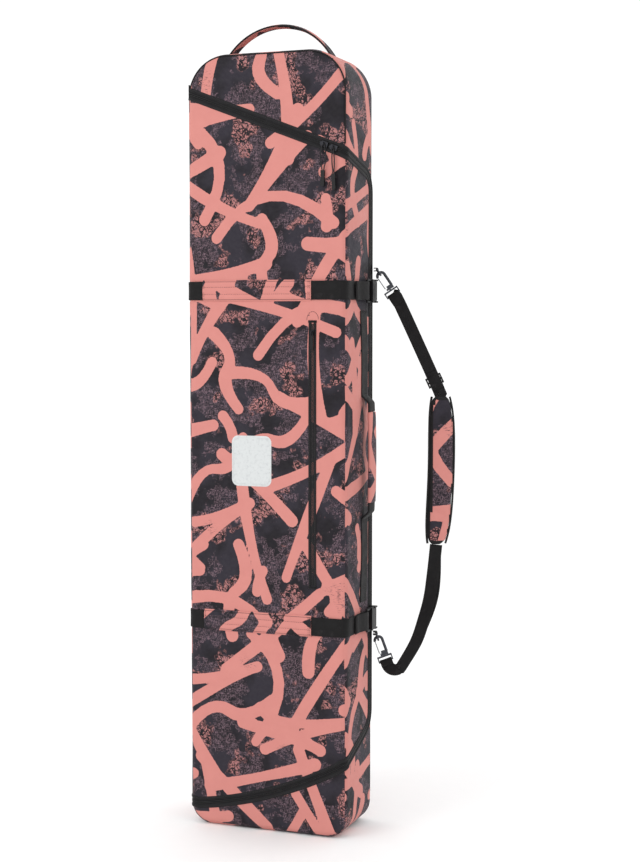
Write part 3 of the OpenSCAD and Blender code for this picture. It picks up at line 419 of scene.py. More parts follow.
def ink_field(uv):
    """Distance to the nearest stroke's edge, in metres, negative inside it."""
    best = np.full(len(uv), 0.02)
    reach = 0.03
    lo, hi = uv.min(0) - reach, uv.max(0) + reach
    order = np.argsort(uv[:, 1])
    v = uv[order, 1]
    for ax, ay, bx, by, ra, rb in STROKES:
        if max(ax, bx) < lo[0] or min(ax, bx) > hi[0] or max(ay, by) < lo[1] or min(ay, by) > hi[1]:
            continue
        near = order[np.searchsorted(v, min(ay, by) - reach):np.searchsorted(v, max(ay, by) + reach)]
        near = near[(uv[near, 0] > min(ax, bx) - reach) & (uv[near, 0] < max(ax, bx) + reach)]
        if not len(near):
            continue
        p = uv[near]
        d = np.array([bx - ax, by - ay])
        t = np.clip(((p - (ax, ay)) @ d) / (d @ d), 0, 1)
        dist = np.hypot(p[:, 0] - ax - t * d[0], p[:, 1] - ay - t * d[1]) - (ra + (rb - ra) * t)
        best[near] = np.minimum(best[near], dist)
    return best


# ---------------------------------------------------------------- mesh helpers

def make(name, verts, faces, uv, mats, body=None, mat_index=None, ink=None, smooth=True, sub=0):
    me = bpy.data.meshes.new(name)
    me.from_pydata(np.asarray(verts, float).tolist(), [], [list(map(int, f)) for f in faces])
    for m in mats:
        me.materials.append(m)
    if mat_index is not None:
        me.polygons.foreach_set("material_index", np.asarray(mat_index, np.int32))
    me.polygons.foreach_set("use_smooth", np.full(len(me.polygons), smooth))
    layer = me.uv_layers.new(name="cloth")
    idx = np.zeros(len(me.loops), np.int32)
    me.loops.foreach_get("vertex_index", idx)
    layer.data.foreach_set("uv", np.asarray(uv, np.float32)[idx].ravel())
    if ink is not None:
        a = me.attributes.new("ink", "FLOAT", "POINT")
        a.data.foreach_set("value", np.asarray(ink, np.float32))
    me.validate()
    me.update()
    o = bpy.data.objects.new(name, me)
    bpy.context.scene.collection.objects.link(o)
    if sub:
        mod = o.modifiers.new("sub", "SUBSURF")
        mod.levels = mod.render_levels = sub
    if body:
        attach(o, body)
    return o


def tube_faces(rings, m, base=0, ends=True):
    """Faces of a tube of rings of m vertices each, from vertex base on, and its two ends."""
    at = [[base + k * m + i for i in range(m)] for k in range(rings)]
    F = [[at[k][i], at[k][(i + 1) % m], at[k + 1][(i + 1) % m], at[k + 1][i]]
         for k in range(rings - 1) for i in range(m)]
    return F + [at[0][::-1], at[-1]] if ends else F


def vertex_normals(P, faces):
    N = np.zeros_like(P)
    for size in (3, 4, 5):
        q = np.array([f for f in faces if len(f) == size], int)
        if not len(q):
            continue
        n = np.cross(P[q[:, 1]] - P[q[:, 0]], P[q[:, 2]] - P[q[:, 0]])
        if size > 3:
            n = n + np.cross(P[q[:, 2]] - P[q[:, 0]], P[q[:, 3]] - P[q[:, 0]])
        for i in range(size):
            np.add.at(N, q[:, i], n)
    return N / np.maximum(np.linalg.norm(N, axis=1, keepdims=True), 1e-12)


def clip(A, quads, f):
    """The part of a grid where f is positive, with its edge cut exactly. A holds one row a vertex."""
    inside = f >= 0
    count = inside[quads].sum(1)
    faces = [list(q) for q in quads[count == 4]]
    new, cut, n = [], {}, len(A)
    for q in quads[(count > 0) & (count < 4)]:
        poly = []
        for i in range(4):
            a, b = int(q[i]), int(q[(i + 1) % 4])
            if inside[a]:
                poly.append(a)
            if inside[a] != inside[b]:
                k = (min(a, b), max(a, b))
                if k not in cut:
                    t = f[k[0]] / (f[k[0]] - f[k[1]])
                    cut[k] = n + len(new)
                    new.append(A[k[0]] * (1 - t) + A[k[1]] * t)
                poly.append(cut[k])
        if len(poly) > 2:
            faces.append(poly)
    A = np.vstack([A, np.array(new)]) if new else A
    used = np.unique(np.concatenate([np.array(x) for x in faces]))
    where = np.full(len(A), -1)
    where[used] = np.arange(len(used))
    return A[used], [[int(where[i]) for i in p] for p in faces]


def padded_wall(name, body, A, faces, thick=WALL, edge=M_BINDING, inner=M_LINING, replaces=()):
    """Closed padded panel: printed cloth outside, lining inside, bound edges. A = x, y, z, u, v."""
    P, uv = A[:, :3], A[:, 3:5]
    N = vertex_normals(P, faces)
    n = len(P)
    edges = {}
    for p in faces:
        for i in range(len(p)):
            a, b = p[i], p[(i + 1) % len(p)]
            edges[(a, b)] = edges.get((a, b), 0) + 1
    rim = [(a, b) for a, b in edges if (b, a) not in edges]
    V = [P, P - N * thick]
    F = list(faces) + [[i + n for i in reversed(p)] for p in faces]
    mi = [0] * len(faces) + [2] * len(faces)
    # The bound edge: its own vertices, so that its shading stays crisp
    ring = sorted({i for e in rim for i in e})
    at = {v: k for k, v in enumerate(ring)}
    R = np.array(ring)
    m = len(ring)
    V += [P[R], P[R] - N[R] * thick]
    for a, b in rim:
        F.append([2 * n + at[b], 2 * n + at[a], 2 * n + m + at[a], 2 * n + m + at[b]])
        mi.append(1)
    U = np.vstack([uv, uv, uv[R], uv[R] + 0.004])
    V = np.vstack(V)
    ink = ink_field(uv)
    ink = np.concatenate([ink, np.full(n + 2 * m, 0.02)])
    o = make(name, V, F, U, [M_PRINT, edge, inner], body, mi, ink)
    if replaces:
        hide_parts(*replaces)
    return o


def sweep(name, frames, section, mats, body=None, closed_ends=True, u0=0.0, **kw):
    """Sweeps a closed section along frames (point, across, out). section = [(across, out)] in metres."""
    n, m = len(frames), len(section)
    V, U = [], []
    run = u0
    around = [0.0]
    for i in range(1, m):
        around.append(around[-1] + math.dist(section[i][:2], section[i - 1][:2]))
    for k, (p, a, o) in enumerate(frames):
        if k:
            run += (Vector(p) - Vector(frames[k - 1][0])).length
        sec = section(k / (n - 1)) if callable(section) else section
        for i, s in enumerate(sec):
            V.append(Vector(p) + Vector(a) * s[0] + Vector(o) * s[1])
            U.append((run, s[0]))
    return make(name, [tuple(v) for v in V], tube_faces(n, m, ends=closed_ends), U, mats, body, **kw)


# ---------------------------------------------------------------- the wall, unrolled: s round the bag, z up

def half_width(z):
    if z > TOP_Z - TOP_R:
        return HW - TOP_R + math.sqrt(max(TOP_R ** 2 - (z - TOP_Z + TOP_R) ** 2, 0))
    if z < LOW_R:
        return HW - LOW_R + math.sqrt(max(LOW_R ** 2 - (LOW_R - z) ** 2, 0))
    return HW


def window(x, lo, hi, soft):
    """1 between lo and hi, falling to 0 over soft at each end."""
    t = np.clip(np.minimum(x - lo, hi - x) / soft, 0, 1)
    return t * t * (3 - 2 * t)


def puff(s, z):
    """How far the stuffed cloth stands out of the flat wall: crowned between straps, drawn in under them."""
    s, z = np.asarray(s, float), np.asarray(z, float)
    a = np.abs(s)
    bays = (window(z, LOWER_Z + 0.026, UPPER_Z - 0.026, 0.12) + window(z, UPPER_Z + 0.026, 1.36, 0.10)
            + window(z, 0.20, LOWER_Z - 0.026, 0.09) + window(z, 0.03, 0.16, 0.06) * 0.4)
    front = window(a, -1, FLAT - 0.004, 0.05) * 0.0022
    side = window(a, SIDE0 + 0.006, SIDE1 - 0.016, 0.04) * 0.0034
    drawn = -0.0012 * (window(z, LOWER_Z - 0.024, LOWER_Z + 0.024, 0.006)
                       + window(z, UPPER_Z - 0.024, UPPER_Z + 0.024, 0.006)) * window(a, -1, SIDE1, 0.01)
    wave = np.array([noise.noise((x * 9, y * 5.5, 0.3)) + 0.5 * noise.noise((x * 22, y * 15, 4.1))
                     for x, y in zip(np.ravel(s), np.ravel(z))]).reshape(s.shape)
    pulls = np.array([noise.noise((x * 60, 1.7, 0.2)) for x in np.ravel(s)]).reshape(s.shape)
    near = np.exp(-np.minimum(np.abs(np.abs(z - UPPER_Z) - 0.045), np.abs(np.abs(z - LOWER_Z) - 0.045)) / 0.025)
    walls = window(z, 0.03, 1.52, 0.05) * window(a, -1, SIDE1 - 0.005, 0.02)
    return bays * (front + side) + drawn + walls * (0.0009 * wave + 0.0008 * near * pulls)


def wall(s, z, out=0.0, soft=True):
    """Point of the wall at s and z, out of it by out, and the directions across s and outwards."""
    g = 1 if s >= 0 else -1
    a = abs(s)
    w = half_width(z)
    if a <= FLAT:
        x, y, n = a * (w - EDGE_R) / FLAT, -HD, (0, -1)
    elif a <= SIDE0:
        t = (a - FLAT) / EDGE_R
        x, y, n = w - EDGE_R + EDGE_R * math.sin(t), -HD + EDGE_R - EDGE_R * math.cos(t), (math.sin(t), -math.cos(t))
    elif a <= SIDE1:
        x, y, n = w, -HD + EDGE_R + a - SIDE0, (1, 0)
    elif a <= BACK0:
        t = (a - SIDE1) / EDGE_R
        x, y, n = w - EDGE_R + EDGE_R * math.cos(t), HD - EDGE_R + EDGE_R * math.sin(t), (math.cos(t), math.sin(t))
    else:
        x, y, n = w - EDGE_R - (a - BACK0), HD, (0, 1)
    h = out + (float(puff(s, z)) if soft else 0.0)
    point = Vector((g * (x + n[0] * h), y + n[1] * h, z))
    return point, Vector((-n[1], g * n[0], 0)), Vector((g * n[0], n[1], 0))


def wall_frames(path, soft=True, out=0.0):
    """Frames along a path of (s, z) on the wall: across lies in the wall, square to the path."""
    frames = []
    for i, (s, z) in enumerate(path):
        a, b = path[max(i - 1, 0)], path[min(i + 1, len(path) - 1)]
        d = Vector((b[0] - a[0], b[1] - a[1])).normalized()
        p, along_s, n = wall(s, z, out, soft)
        frames.append((p, along_s * -d.y + Vector((0, 0, 1)) * d.x, n))
    return frames


def side_s(y):
    """s of the side wall at depth y, its rounded edges included."""
    if y < -HD + EDGE_R:
        return FLAT + EDGE_R * math.acos(max(-1, min(1, (-HD + EDGE_R - y) / EDGE_R)))
    if y > HD - EDGE_R:
        return SIDE1 + EDGE_R * math.asin((y - HD + EDGE_R) / EDGE_R)
    return SIDE0 + y + HD - EDGE_R


def dense(path, step):
    out = []
    for i in range(len(path) - 1):
        a, b = path[i], path[i + 1]
        n = max(1, int(math.dist(a, b) / step + 0.5))
        out += [(a[0] + (b[0] - a[0]) * k / n, a[1] + (b[1] - a[1]) * k / n) for k in range(n)]
    return out + [path[-1]]


def low_front(x):
    """Height of the lower zip's curve on the front."""
    dx, dz = 2 * HW, LOW_RIGHT - LOW_L
    t = (x + HW) / dx
    return LOW_L + dz * t - LOW_SAG * 4 * t * (1 - t)


def zip_path():
    """The main zip round the bag, from the top of the left hinge to its lower end."""
    pts = []
    k = math.sqrt(1 + TOP_FALL ** 2)
    oy = ZIP_Y - ZIP_R

    def top_z(x, y):
        return TOP_MID - TOP_SLOPE * x - TOP_FALL * (y + HD)

    def top_side(g):
        out = []
        oz = top_z(g * HW, oy) - ZIP_R * k
        a0 = math.pi / 2 + math.atan(-TOP_FALL)
        for i in range(13):
            a = a0 * i / 12
            out.append((g * side_s(oy + ZIP_R * math.cos(a)), oz + ZIP_R * math.sin(a)))
        for y in np.linspace(oy + ZIP_R * math.cos(a0), -HD + EDGE_R, 12)[1:]:
            out.append((g * side_s(y), top_z(g * HW, y)))
        for t in np.linspace(1, 0, 6)[1:]:
            y = -HD + EDGE_R - EDGE_R * math.cos(t * math.pi / 2)
            x = g * (HW - EDGE_R + EDGE_R * math.sin(t * math.pi / 2))
            out.append((g * (FLAT + EDGE_R * t * math.pi / 2), top_z(x, y)))
        return out

    def low_side(g):
        out = []
        for t in np.linspace(0, 1, 6)[1:]:
            y = -HD + EDGE_R - EDGE_R * math.cos(t * math.pi / 2)
            out.append((g * (FLAT + EDGE_R * t * math.pi / 2),
                        low_front(g * HW) + LOW_RISE * (y + HD) - g * (1 - t) * 0.005))
        kl = math.sqrt(1 + LOW_RISE ** 2)
        oz = low_front(g * HW) + LOW_RISE * (oy + HD) + ZIP_R * kl
        a0 = -math.pi / 2 + math.atan(LOW_RISE)
        for y in np.linspace(-HD + EDGE_R, oy + ZIP_R * math.cos(a0), 10)[1:-1]:
            out.append((g * side_s(y), low_front(g * HW) + LOW_RISE * (y + HD)))
        for i in range(13):
            a = a0 * (1 - i / 12)
            out.append((g * side_s(oy + ZIP_R * math.cos(a)), oz + ZIP_R * math.sin(a)))
        return out

    left = top_side(-1)
    right = top_side(1)[::-1]
    pts += left + [(x, top_z(x, -HD)) for x in np.linspace(-FLAT, FLAT, 60)[1:-1]] + right
    low = low_side(1)[::-1]
    pts += [(pts[-1][0], z) for z in np.linspace(pts[-1][1], low[0][1], 160)[1:-1]] + low
    pts += [(x, low_front(x)) for x in np.linspace(FLAT, -FLAT, 60)[1:-1]] + low_side(-1)
    return pts


ZIP = zip_path()
ZIP_ARRAY = np.array(ZIP)


def distance_to(path, q):
    best = np.full(len(q), 9.0)
    for a, b in zip(path[:-1], path[1:]):
        d = b - a
        L = d @ d
        if L < 1e-14:
            continue
        t = np.clip(((q - a) @ d) / L, 0, 1)
        best = np.minimum(best, np.hypot(q[:, 0] - a[0] - t * d[0], q[:, 1] - a[1] - t * d[1]))
    return best


def inside_door(q):
    poly = ZIP_ARRAY
    out = np.zeros(len(q), bool)
    for i in range(len(poly)):
        a, b = poly[i], poly[(i + 1) % len(poly)]
        if a[1] == b[1]:
            continue
        hit = (a[1] > q[:, 1]) != (b[1] > q[:, 1])
        xs = a[0] + (q[:, 1] - a[1]) * (b[0] - a[0]) / (b[1] - a[1])
        out ^= hit & (q[:, 0] < xs)
    return out


HINGE = np.array([ZIP[-1], ZIP[0]])


def door_value(q, door):
    """Positive on the door's cloth, or on the shell's, and zero along the edge of the zip band."""
    inside = inside_door(q)
    sign = np.where(inside, 1.0, -1.0) * (1 if door else -1)
    zip_d = distance_to(ZIP_ARRAY, q)
    hinge_d = distance_to(HINGE, q)
    # On the far side both distances count against the point, so that the edge is cut exactly
    return np.where(sign > 0, np.minimum(zip_d - BAND + 0.0012, hinge_d - 0.0004),
                    -np.minimum(zip_d, hinge_d) - 0.0004)


# ---------------------------------------------------------------- padded panels

def outline_depth(x, z):
    """How far a point of the front lies inside the bag's outline."""
    x = np.abs(x)
    out = np.minimum(np.minimum(HW - x, TOP_Z - z), z)
    cx, cz = HW - TOP_R, TOP_Z - TOP_R
    m = (x > cx) & (z > cz)
    out = np.where(m, TOP_R - np.hypot(x - cx, z - cz), out)
    cx, cz = HW - LOW_R, LOW_R
    m = (x > cx) & (z < cz)
    return np.where(m, LOW_R - np.hypot(x - cx, z - cz), out)


def grid_quads(n, m):
    i, j = np.meshgrid(np.arange(n - 1), np.arange(m - 1), indexing="ij")
    a = (i * m + j).ravel()
    return np.stack([a, a + m, a + m + 1, a + 1], 1)


SEAM = EDGE_R * (1 - math.sqrt(0.5))
FINE = 0.0045


def plate_grid(back):
    """The front or back plate, as a height over x and z that rounds over its edges."""
    xs = np.concatenate([np.linspace(-HW, -HW + 0.018, 8)[:-1],
                         np.linspace(-HW + 0.018, HW - 0.018, int(2 * HW / FINE)),
                         np.linspace(HW - 0.018, HW, 8)[1:]])
    zs = np.concatenate([np.linspace(0, 0.02, 8)[:-1], np.linspace(0.02, TOP_Z - 0.02, int(TOP_Z / FINE)),
                         np.linspace(TOP_Z - 0.02, TOP_Z, 8)[1:]])
    X, Z = [g.ravel() for g in np.meshgrid(xs, zs, indexing="ij")]
    depth = outline_depth(X, Z)
    d = np.clip(depth, 0, EDGE_R)
    drop = EDGE_R - np.sqrt(EDGE_R ** 2 - (EDGE_R - d) ** 2)
    quads = grid_quads(len(xs), len(zs))
    s = np.clip(X, -FLAT, FLAT)
    over = np.abs(X) - FLAT
    s = np.where(over > 0, np.sign(X) * (FLAT + EDGE_R * np.arcsin(np.clip(over / EDGE_R, 0, 1))), s)
    if back:
        swell = 0.002 * window(np.abs(X), -1, FLAT, 0.05) * window(Z, 0.05, TOP_Z - 0.05, 0.1)
        Y = HD - drop + swell
        A = np.stack([X, Y, Z, X + 0.62, Z + 1.9, s, Z, depth], 1)
        return A, quads[:, ::-1]
    lift = puff(s, Z) * window(depth, 0.002, 9, 0.02)
    groove = 0.0016 * np.exp(-((depth - SEAM) / 0.0016) ** 2)
    Y = -HD + drop - lift + groove
    return np.stack([X, Y, Z, X + 0.2, Z, s, Z, depth], 1), quads


def gusset_grid():
    """The long strip of cloth round the sides, top and bottom, between the two seams."""
    angles = [math.pi / 4 + math.pi / 4 * i / 4 for i in range(5)]
    col = [(EDGE_R * (1 - math.sin(a)), -HD + EDGE_R - EDGE_R * math.cos(a), FLAT + EDGE_R * a) for a in angles]
    n = int(2 * (HD - EDGE_R) / FINE)
    col += [(0.0, -HD + EDGE_R + 2 * (HD - EDGE_R) * i / n, SIDE0 + 2 * (HD - EDGE_R) * i / n) for i in range(1, n)]
    col += [(i, -y, 2 * (SIDE0 + HD - EDGE_R) - s) for i, y, s in col[:5][::-1]]
    path = []
    w, h = HW, TOP_Z

    def arc(cx, cz, r, a0, a1, k):
        for i in range(k):
            a = a0 + (a1 - a0) * i / (k - 1)
            path.append((cx + r * math.cos(a), cz + r * math.sin(a), math.cos(a), math.sin(a)))

    def run(p, q, nx, nz):
        k = max(2, int(math.dist(p, q) / FINE))
        for i in range(1, k):
            path.append((p[0] + (q[0] - p[0]) * i / k, p[1] + (q[1] - p[1]) * i / k, nx, nz))

    path.append((0, 0, 0, -1))
    run((0, 0), (w - LOW_R, 0), 0, -1)
    arc(w - LOW_R, LOW_R, LOW_R, -math.pi / 2, 0, 16)
    run((w, LOW_R), (w, h - TOP_R), 1, 0)
    arc(w - TOP_R, h - TOP_R, TOP_R, 0, math.pi / 2, 28)
    run((w - TOP_R, h), (-w + TOP_R, h), 0, 1)
    arc(-w + TOP_R, h - TOP_R, TOP_R, math.pi / 2, math.pi, 28)
    run((-w, h - TOP_R), (-w, LOW_R), -1, 0)
    arc(-w + LOW_R, LOW_R, LOW_R, math.pi, math.pi * 1.5, 16)
    run((-w + LOW_R, 0), (0, 0), 0, -1)
    path.append((0, 0, 0, -1))
    t, rows = 0.0, []
    for i, (x, z, nx, nz) in enumerate(path):
        if i:
            t += math.dist((x, z), path[i - 1][:2])
        g = 1 if (x > 0 or (x == 0 and i < 3)) else -1
        for inset, y, s in col:
            rows.append((x - nx * inset, y, z - nz * inset, s + 0.22, t, g * s, z, nx, nz, inset))
    R = np.array(rows)
    lift = puff(R[:, 5], R[:, 6]) * (np.abs(R[:, 7]) > 0.9)
    top = 0.0028 * window(R[:, 1], -HD + 0.01, HD - 0.01, 0.05) * window(R[:, 8], 0.6, 9, 0.3) * window(
        np.abs(R[:, 0]), -1, HW - 0.05, 0.06)
    depth_s = np.abs(R[:, 5])
    seam_d = np.minimum(depth_s - (FLAT + EDGE_R * math.pi / 4),
                        2 * (SIDE0 + HD - EDGE_R) - FLAT - EDGE_R * math.pi / 4 - depth_s)
    groove = -0.0016 * np.exp(-(seam_d / 0.0016) ** 2)
    h = lift + top + groove
    R[:, 0] += R[:, 7] * h
    R[:, 2] += R[:, 8] * h
    return R[:, :9], grid_quads(len(path), len(col))[:, ::-1]


F_A, F_Q = plate_grid(False)
B_A, B_Q = plate_grid(True)
G_A, G_Q = gusset_grid()
f_seam = F_A[:, 7] - SEAM
f_door = door_value(F_A[:, 5:7], True)
f_shell = door_value(F_A[:, 5:7], False)
g_door = door_value(G_A[:, 5:7], True)
g_shell = door_value(G_A[:, 5:7], False)
above = F_A[:, 2] - TOP_Z / 2
g_above = G_A[:, 2] - TOP_Z / 2
g_side = G_A[:, 0]


def piece(name, body, A, Q, f, replaces):
    A, faces = clip(A, Q, f)
    return padded_wall(name, body, A, faces, replaces=replaces)


piece("front_cloth", "door", F_A, F_Q, np.minimum(f_seam, f_door), ("front_panel", "door_foam", "door_lining"))
piece("front_top_cloth", "shell", F_A, F_Q, np.minimum(np.minimum(f_seam, f_shell), above), ("front_top_panel",))
piece("front_bottom_cloth", "shell", F_A, F_Q, np.minimum(np.minimum(f_seam, f_shell), -above),
      ("front_bottom_panel",))
piece("back_cloth", "shell", B_A, B_Q, B_A[:, 7] - SEAM, ("back_panel", "back_foam", "shell_lining"))
piece("right_gusset_cloth", "door", G_A, G_Q, np.minimum(g_door, g_side), ("right_gusset",))
piece("left_gusset_cloth", "door", G_A, G_Q, np.minimum(g_door, -g_side), ("left_gusset",))
piece("top_gusset_cloth", "shell", G_A, G_Q, np.minimum(g_shell, g_above), ("top_gusset", "top_foam"))
piece("bottom_gusset_cloth", "shell", G_A, G_Q, np.minimum(g_shell, -g_above), ("bottom_gusset", "bottom_foam"))

# ---------------------------------------------------------------- main zip

zip_fine = dense(ZIP, 0.004)
frames = wall_frames(zip_fine)


def flip(section):
    return [(-a, o) for a, o in section][::-1]


# Half a zip band, from the closing line outwards: coil, flat tape, and a turned edge that stands up
COIL = [(0.0003, -0.0016), (0.0003, 0.0005), (0.0009, 0.0011), (0.0019, 0.0012), (0.0028, 0.0006), (0.003, -0.0016)]
TAPE = [(0.0028, -0.0022), (0.0028, -0.0004), (0.0045, -0.0002), (0.0058, -0.0002), (0.0066, 0.0009),
        (0.0078, 0.0014), (0.0102, 0.0014), (0.0119, 0.0008), (0.0124, -0.0004), (0.0122, -0.0022)]
# Across points to the path's left: the path runs clockwise seen from the front, so left is the shell
door_tape = sweep("door_zip_cloth", frames, flip(TAPE), [M_TAPE], "door")
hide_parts("door_zip_tape")
shell_tape = sweep("shell_zip_cloth", frames, TAPE, [M_TAPE], "shell")
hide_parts("shell_zip_tape")


COIL_TURN = 0.0013
COIL_STEP = COIL_TURN
COIL_DROP = 0.0004


def coil(name, path, section, body, node):
    """Every other ring of a coil stands a little lower, so that its turns show."""
    rings = wall_frames(dense(path, COIL_STEP))
    V, U = [], []
    for k, (p, a, o) in enumerate(rings):
        for x, h in section:
            V.append(tuple(p + a * x + o * (h - (COIL_DROP if k % 2 and h > 0 else 0))))
            U.append((k * COIL_TURN, x))
    o = make(name, V, tube_faces(len(rings), len(section)), U, [M_COIL], body)
    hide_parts(node)


coil("door_coil", ZIP, flip(COIL), "door", "door_zip_coil")
coil("shell_coil", ZIP, COIL, "shell", "shell_zip_coil")

# Fold of cloth over the hinge, sewn to the shell
hinge = [(HINGE[0][0], z) for z in np.linspace(HINGE[0][1], HINGE[1][1], 90)]
sweep("hinge_fold", wall_frames(hinge), [(-0.0035, -0.003), (-0.003, 0.0002), (-0.001, 0.0012), (0.001, 0.0012),
                                         (0.003, 0.0002), (0.0035, -0.003)], [M_BINDING], "shell")

# ---------------------------------------------------------------- stitching

def stitches(name, path, body, mat, out=0.0, pitch=0.0042, long=0.0029, r=0.00032):
    """Short rounded threads along a path of (s, z) on the wall."""
    V, F, U = [], [], []
    pts = dense(path, 0.001)
    run, nxt = 0.0, 0.0
    for i in range(1, len(pts)):
        run += math.dist(pts[i], pts[i - 1])
        if run < nxt:
            continue
        nxt += pitch
        d = Vector((pts[i][0] - pts[i - 1][0], pts[i][1] - pts[i - 1][1])).normalized()
        p, along, n = wall(*pts[i], out)
        t = along * d.x + Vector((0, 0, d.y))
        c = t.cross(n)
        base = len(V)
        for q, w, h in ((-0.5, 0.5, 0.0), (-0.28, 1.0, 1.0), (0.28, 1.0, 1.0), (0.5, 0.5, 0.0)):
            o = p + t * (q * long)
            for a, b in ((-w, -0.6), (-w * 0.7, h), (w * 0.7, h), (w, -0.6)):
                V.append(tuple(o + c * (a * r) + n * (b * r)))
                U.append((q * long, a * r))
        F += tube_faces(4, 4, base, False)
        F += [[base, base + 3, base + 2, base + 1], [base + 12, base + 13, base + 14, base + 15]]
    return make(name, V, F, U, [mat], body)


ZIP_SEAM = 0.0092
offset_out, offset_in = [], []
for i, (s, z) in enumerate(zip_fine):
    a, b = zip_fine[max(i - 1, 0)], zip_fine[min(i + 1, len(zip_fine) - 1)]
    d = Vector((b[0] - a[0], b[1] - a[1])).normalized()
    offset_out.append((s - d.y * ZIP_SEAM, z + d.x * ZIP_SEAM))
    offset_in.append((s + d.y * ZIP_SEAM, z - d.x * ZIP_SEAM))
stitches("shell_zip_stitch", offset_out, "shell", M_THREAD, 0.0014)
stitches("door_zip_stitch", offset_in, "door", M_THREAD, 0.0014)

# ---------------------------------------------------------------- compression straps

def rounded(w, low, high, n=6, lip=0.0007):
    """Section of a strap: slightly hollow between two woven edges."""
    h = w / 2
    top = [(-h, (low + high) / 2), (-h + lip, high)]
    top += [(-h + 0.003 + (2 * h - 0.006) * i / n, high - 0.00025 * math.sin(math.pi * i / n)) for i in range(n + 1)]
    top += [(h - lip, high), (h, (low + high) / 2)]
    return top + [(h - lip, low), (-h + lip, low)]


for part, z0 in (("upper", UPPER_Z), ("lower", LOWER_Z)):
    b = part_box(part + "_strap")
    path = dense([(-side_s(ZIP_Y - 0.003), z0), (side_s(0.026), z0)], 0.005)
    o = sweep(part + "_strap_webbing", wall_frames(path), rounded(STRAP_W, 0.0013, 0.0034), [M_WEB], "door")
    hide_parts(part + "_strap")
    s0, s1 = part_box("strap_sleeves")[0].x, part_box("strap_sleeves")[1].x
    path = dense([(s0, z0), (s1, z0)], 0.004)
    h = STRAP_W / 2
    sec = [(-h - 0.003, 0.0002), (-h - 0.0026, 0.0016), (-h - 0.0006, 0.0021), (-h + 0.002, 0.0042),
           (-h + 0.006, 0.0053), (-h + 0.0105, 0.0046), (-h + 0.0118, 0.0041), (-h + 0.0131, 0.0046),
           (-0.002, 0.0057), (0.003, 0.0057),
           (h - 0.0131, 0.0046), (h - 0.0118, 0.0041), (h - 0.0105, 0.0046), (h - 0.006, 0.0053), (h - 0.002, 0.0042),
           (h + 0.0006, 0.0021), (h + 0.0026, 0.0016), (h + 0.003, 0.0002)]
    o = sweep(part + "_sleeve_cloth", wall_frames(path), sec, [M_PRINT], "door")
    me = o.data
    uv = np.array([(v.co.x + 0.2 + (0.35 if part == "upper" else 0.2), v.co.z) for v in me.vertices])
    idx = np.zeros(len(me.loops), np.int32)
    me.loops.foreach_get("vertex_index", idx)
    me.uv_layers["cloth"].data.foreach_set("uv", uv[idx].astype(np.float32).ravel())
    a = me.attributes.new("ink", "FLOAT", "POINT")
    a.data.foreach_set("value", ink_field(uv).astype(np.float32))
    if part == "upper":
        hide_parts("strap_sleeves")
    for dz in (-h + 0.0118, h - 0.0118):
        stitches(f"{part}_sleeve_stitch_{'low' if dz < 0 else 'high'}", [(s0 + 0.002, z0 + dz), (s1 - 0.002, z0 + dz)],
                 "door", M_THREAD, 0.0042)
    for x in (s0 + 0.003, s1 - 0.003, s1 - 0.006):
        stitches(f"{part}_sleeve_end_{int(1000 * (x + 1))}", [(x, z0 - h + 0.002), (x, z0 + h - 0.002)], "door",
                 M_THREAD, 0.0052)

# ---------------------------------------------------------------- front pocket and badge

lo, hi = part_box("pocket_zip_tape")
px = (lo.x + hi.x) / 2
pocket = dense([(px, lo.z), (px, hi.z)], 0.006)
sec = [(-0.0082, -0.001), (-0.0084, 0.0006), (-0.0072, 0.0013), (-0.0048, 0.0012), (-0.0036, 0.0002), (-0.0022, 0.0001),
       (-0.0018, -0.001)]
o = sweep("pocket_tape_left", wall_frames(pocket), sec, [M_TAPE], "door")
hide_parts("pocket_zip_tape")
sweep("pocket_tape_right", wall_frames(pocket), flip(sec), [M_TAPE], "door")
sec = [(-0.002, -0.001), (-0.0019, 0.0006), (-0.001, 0.0009), (-0.0002, 0.0003), (0.0002, 0.0003), (0.001, 0.0009),
       (0.0019, 0.0006), (0.002, -0.001)]
coil("pocket_coil", [(px, lo.z + 0.004), (px, hi.z - 0.004)], sec, "door", "pocket_zip_coil")
for dx in (-0.0062, 0.0062):
    stitches(f"pocket_stitch_{'l' if dx < 0 else 'r'}", [(px + dx, lo.z + 0.002), (px + dx, hi.z - 0.002)], "door",
             M_THREAD, 0.0013)
for z, name in ((lo.z, "low"), (hi.z, "high")):
    sweep(f"pocket_bar_{name}", wall_frames([(px - 0.009, z), (px, z), (px + 0.009, z)]),
          rounded(0.005, 0.0, 0.0018, 4), [M_TAPE], "door")
arch = [(px + 0.0125 * math.cos(a), hi.z + 0.004 + 0.016 * math.sin(a)) for a in np.linspace(0, math.pi, 40)]
stitches("pocket_arch_stitch", arch, "door", M_THREAD, 0.0002, 0.0026, 0.002, 0.00045)

lo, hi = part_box("badge")
bx, bz = (lo.x + hi.x) / 2, (lo.z + hi.z) / 2
bw, bh, br = (hi.x - lo.x) / 2, (hi.z - lo.z) / 2, 0.014


def badge_material():
    t = Tree("badge_print_soft")
    uv = t.uv()
    worn = t.noise(uv, 160.0, 4.0, 0.7)
    cracks = t.ramp(t.edges(uv, 240.0), 0.0, 0.05)
    t.bump(t.math("ADD", t.math("MULTIPLY", cracks, 0.5), weave_height(t, uv, 0.0011)), 0.25, 0.00015)
    shade = t.mix(t.ramp(worn, 0.45, 0.75), srgb(203, 206, 206), srgb(186, 189, 190))
    return t.finish(shade, t.ramp(worn, 0.3, 0.7, 0.5, 0.62), spec=0.4)


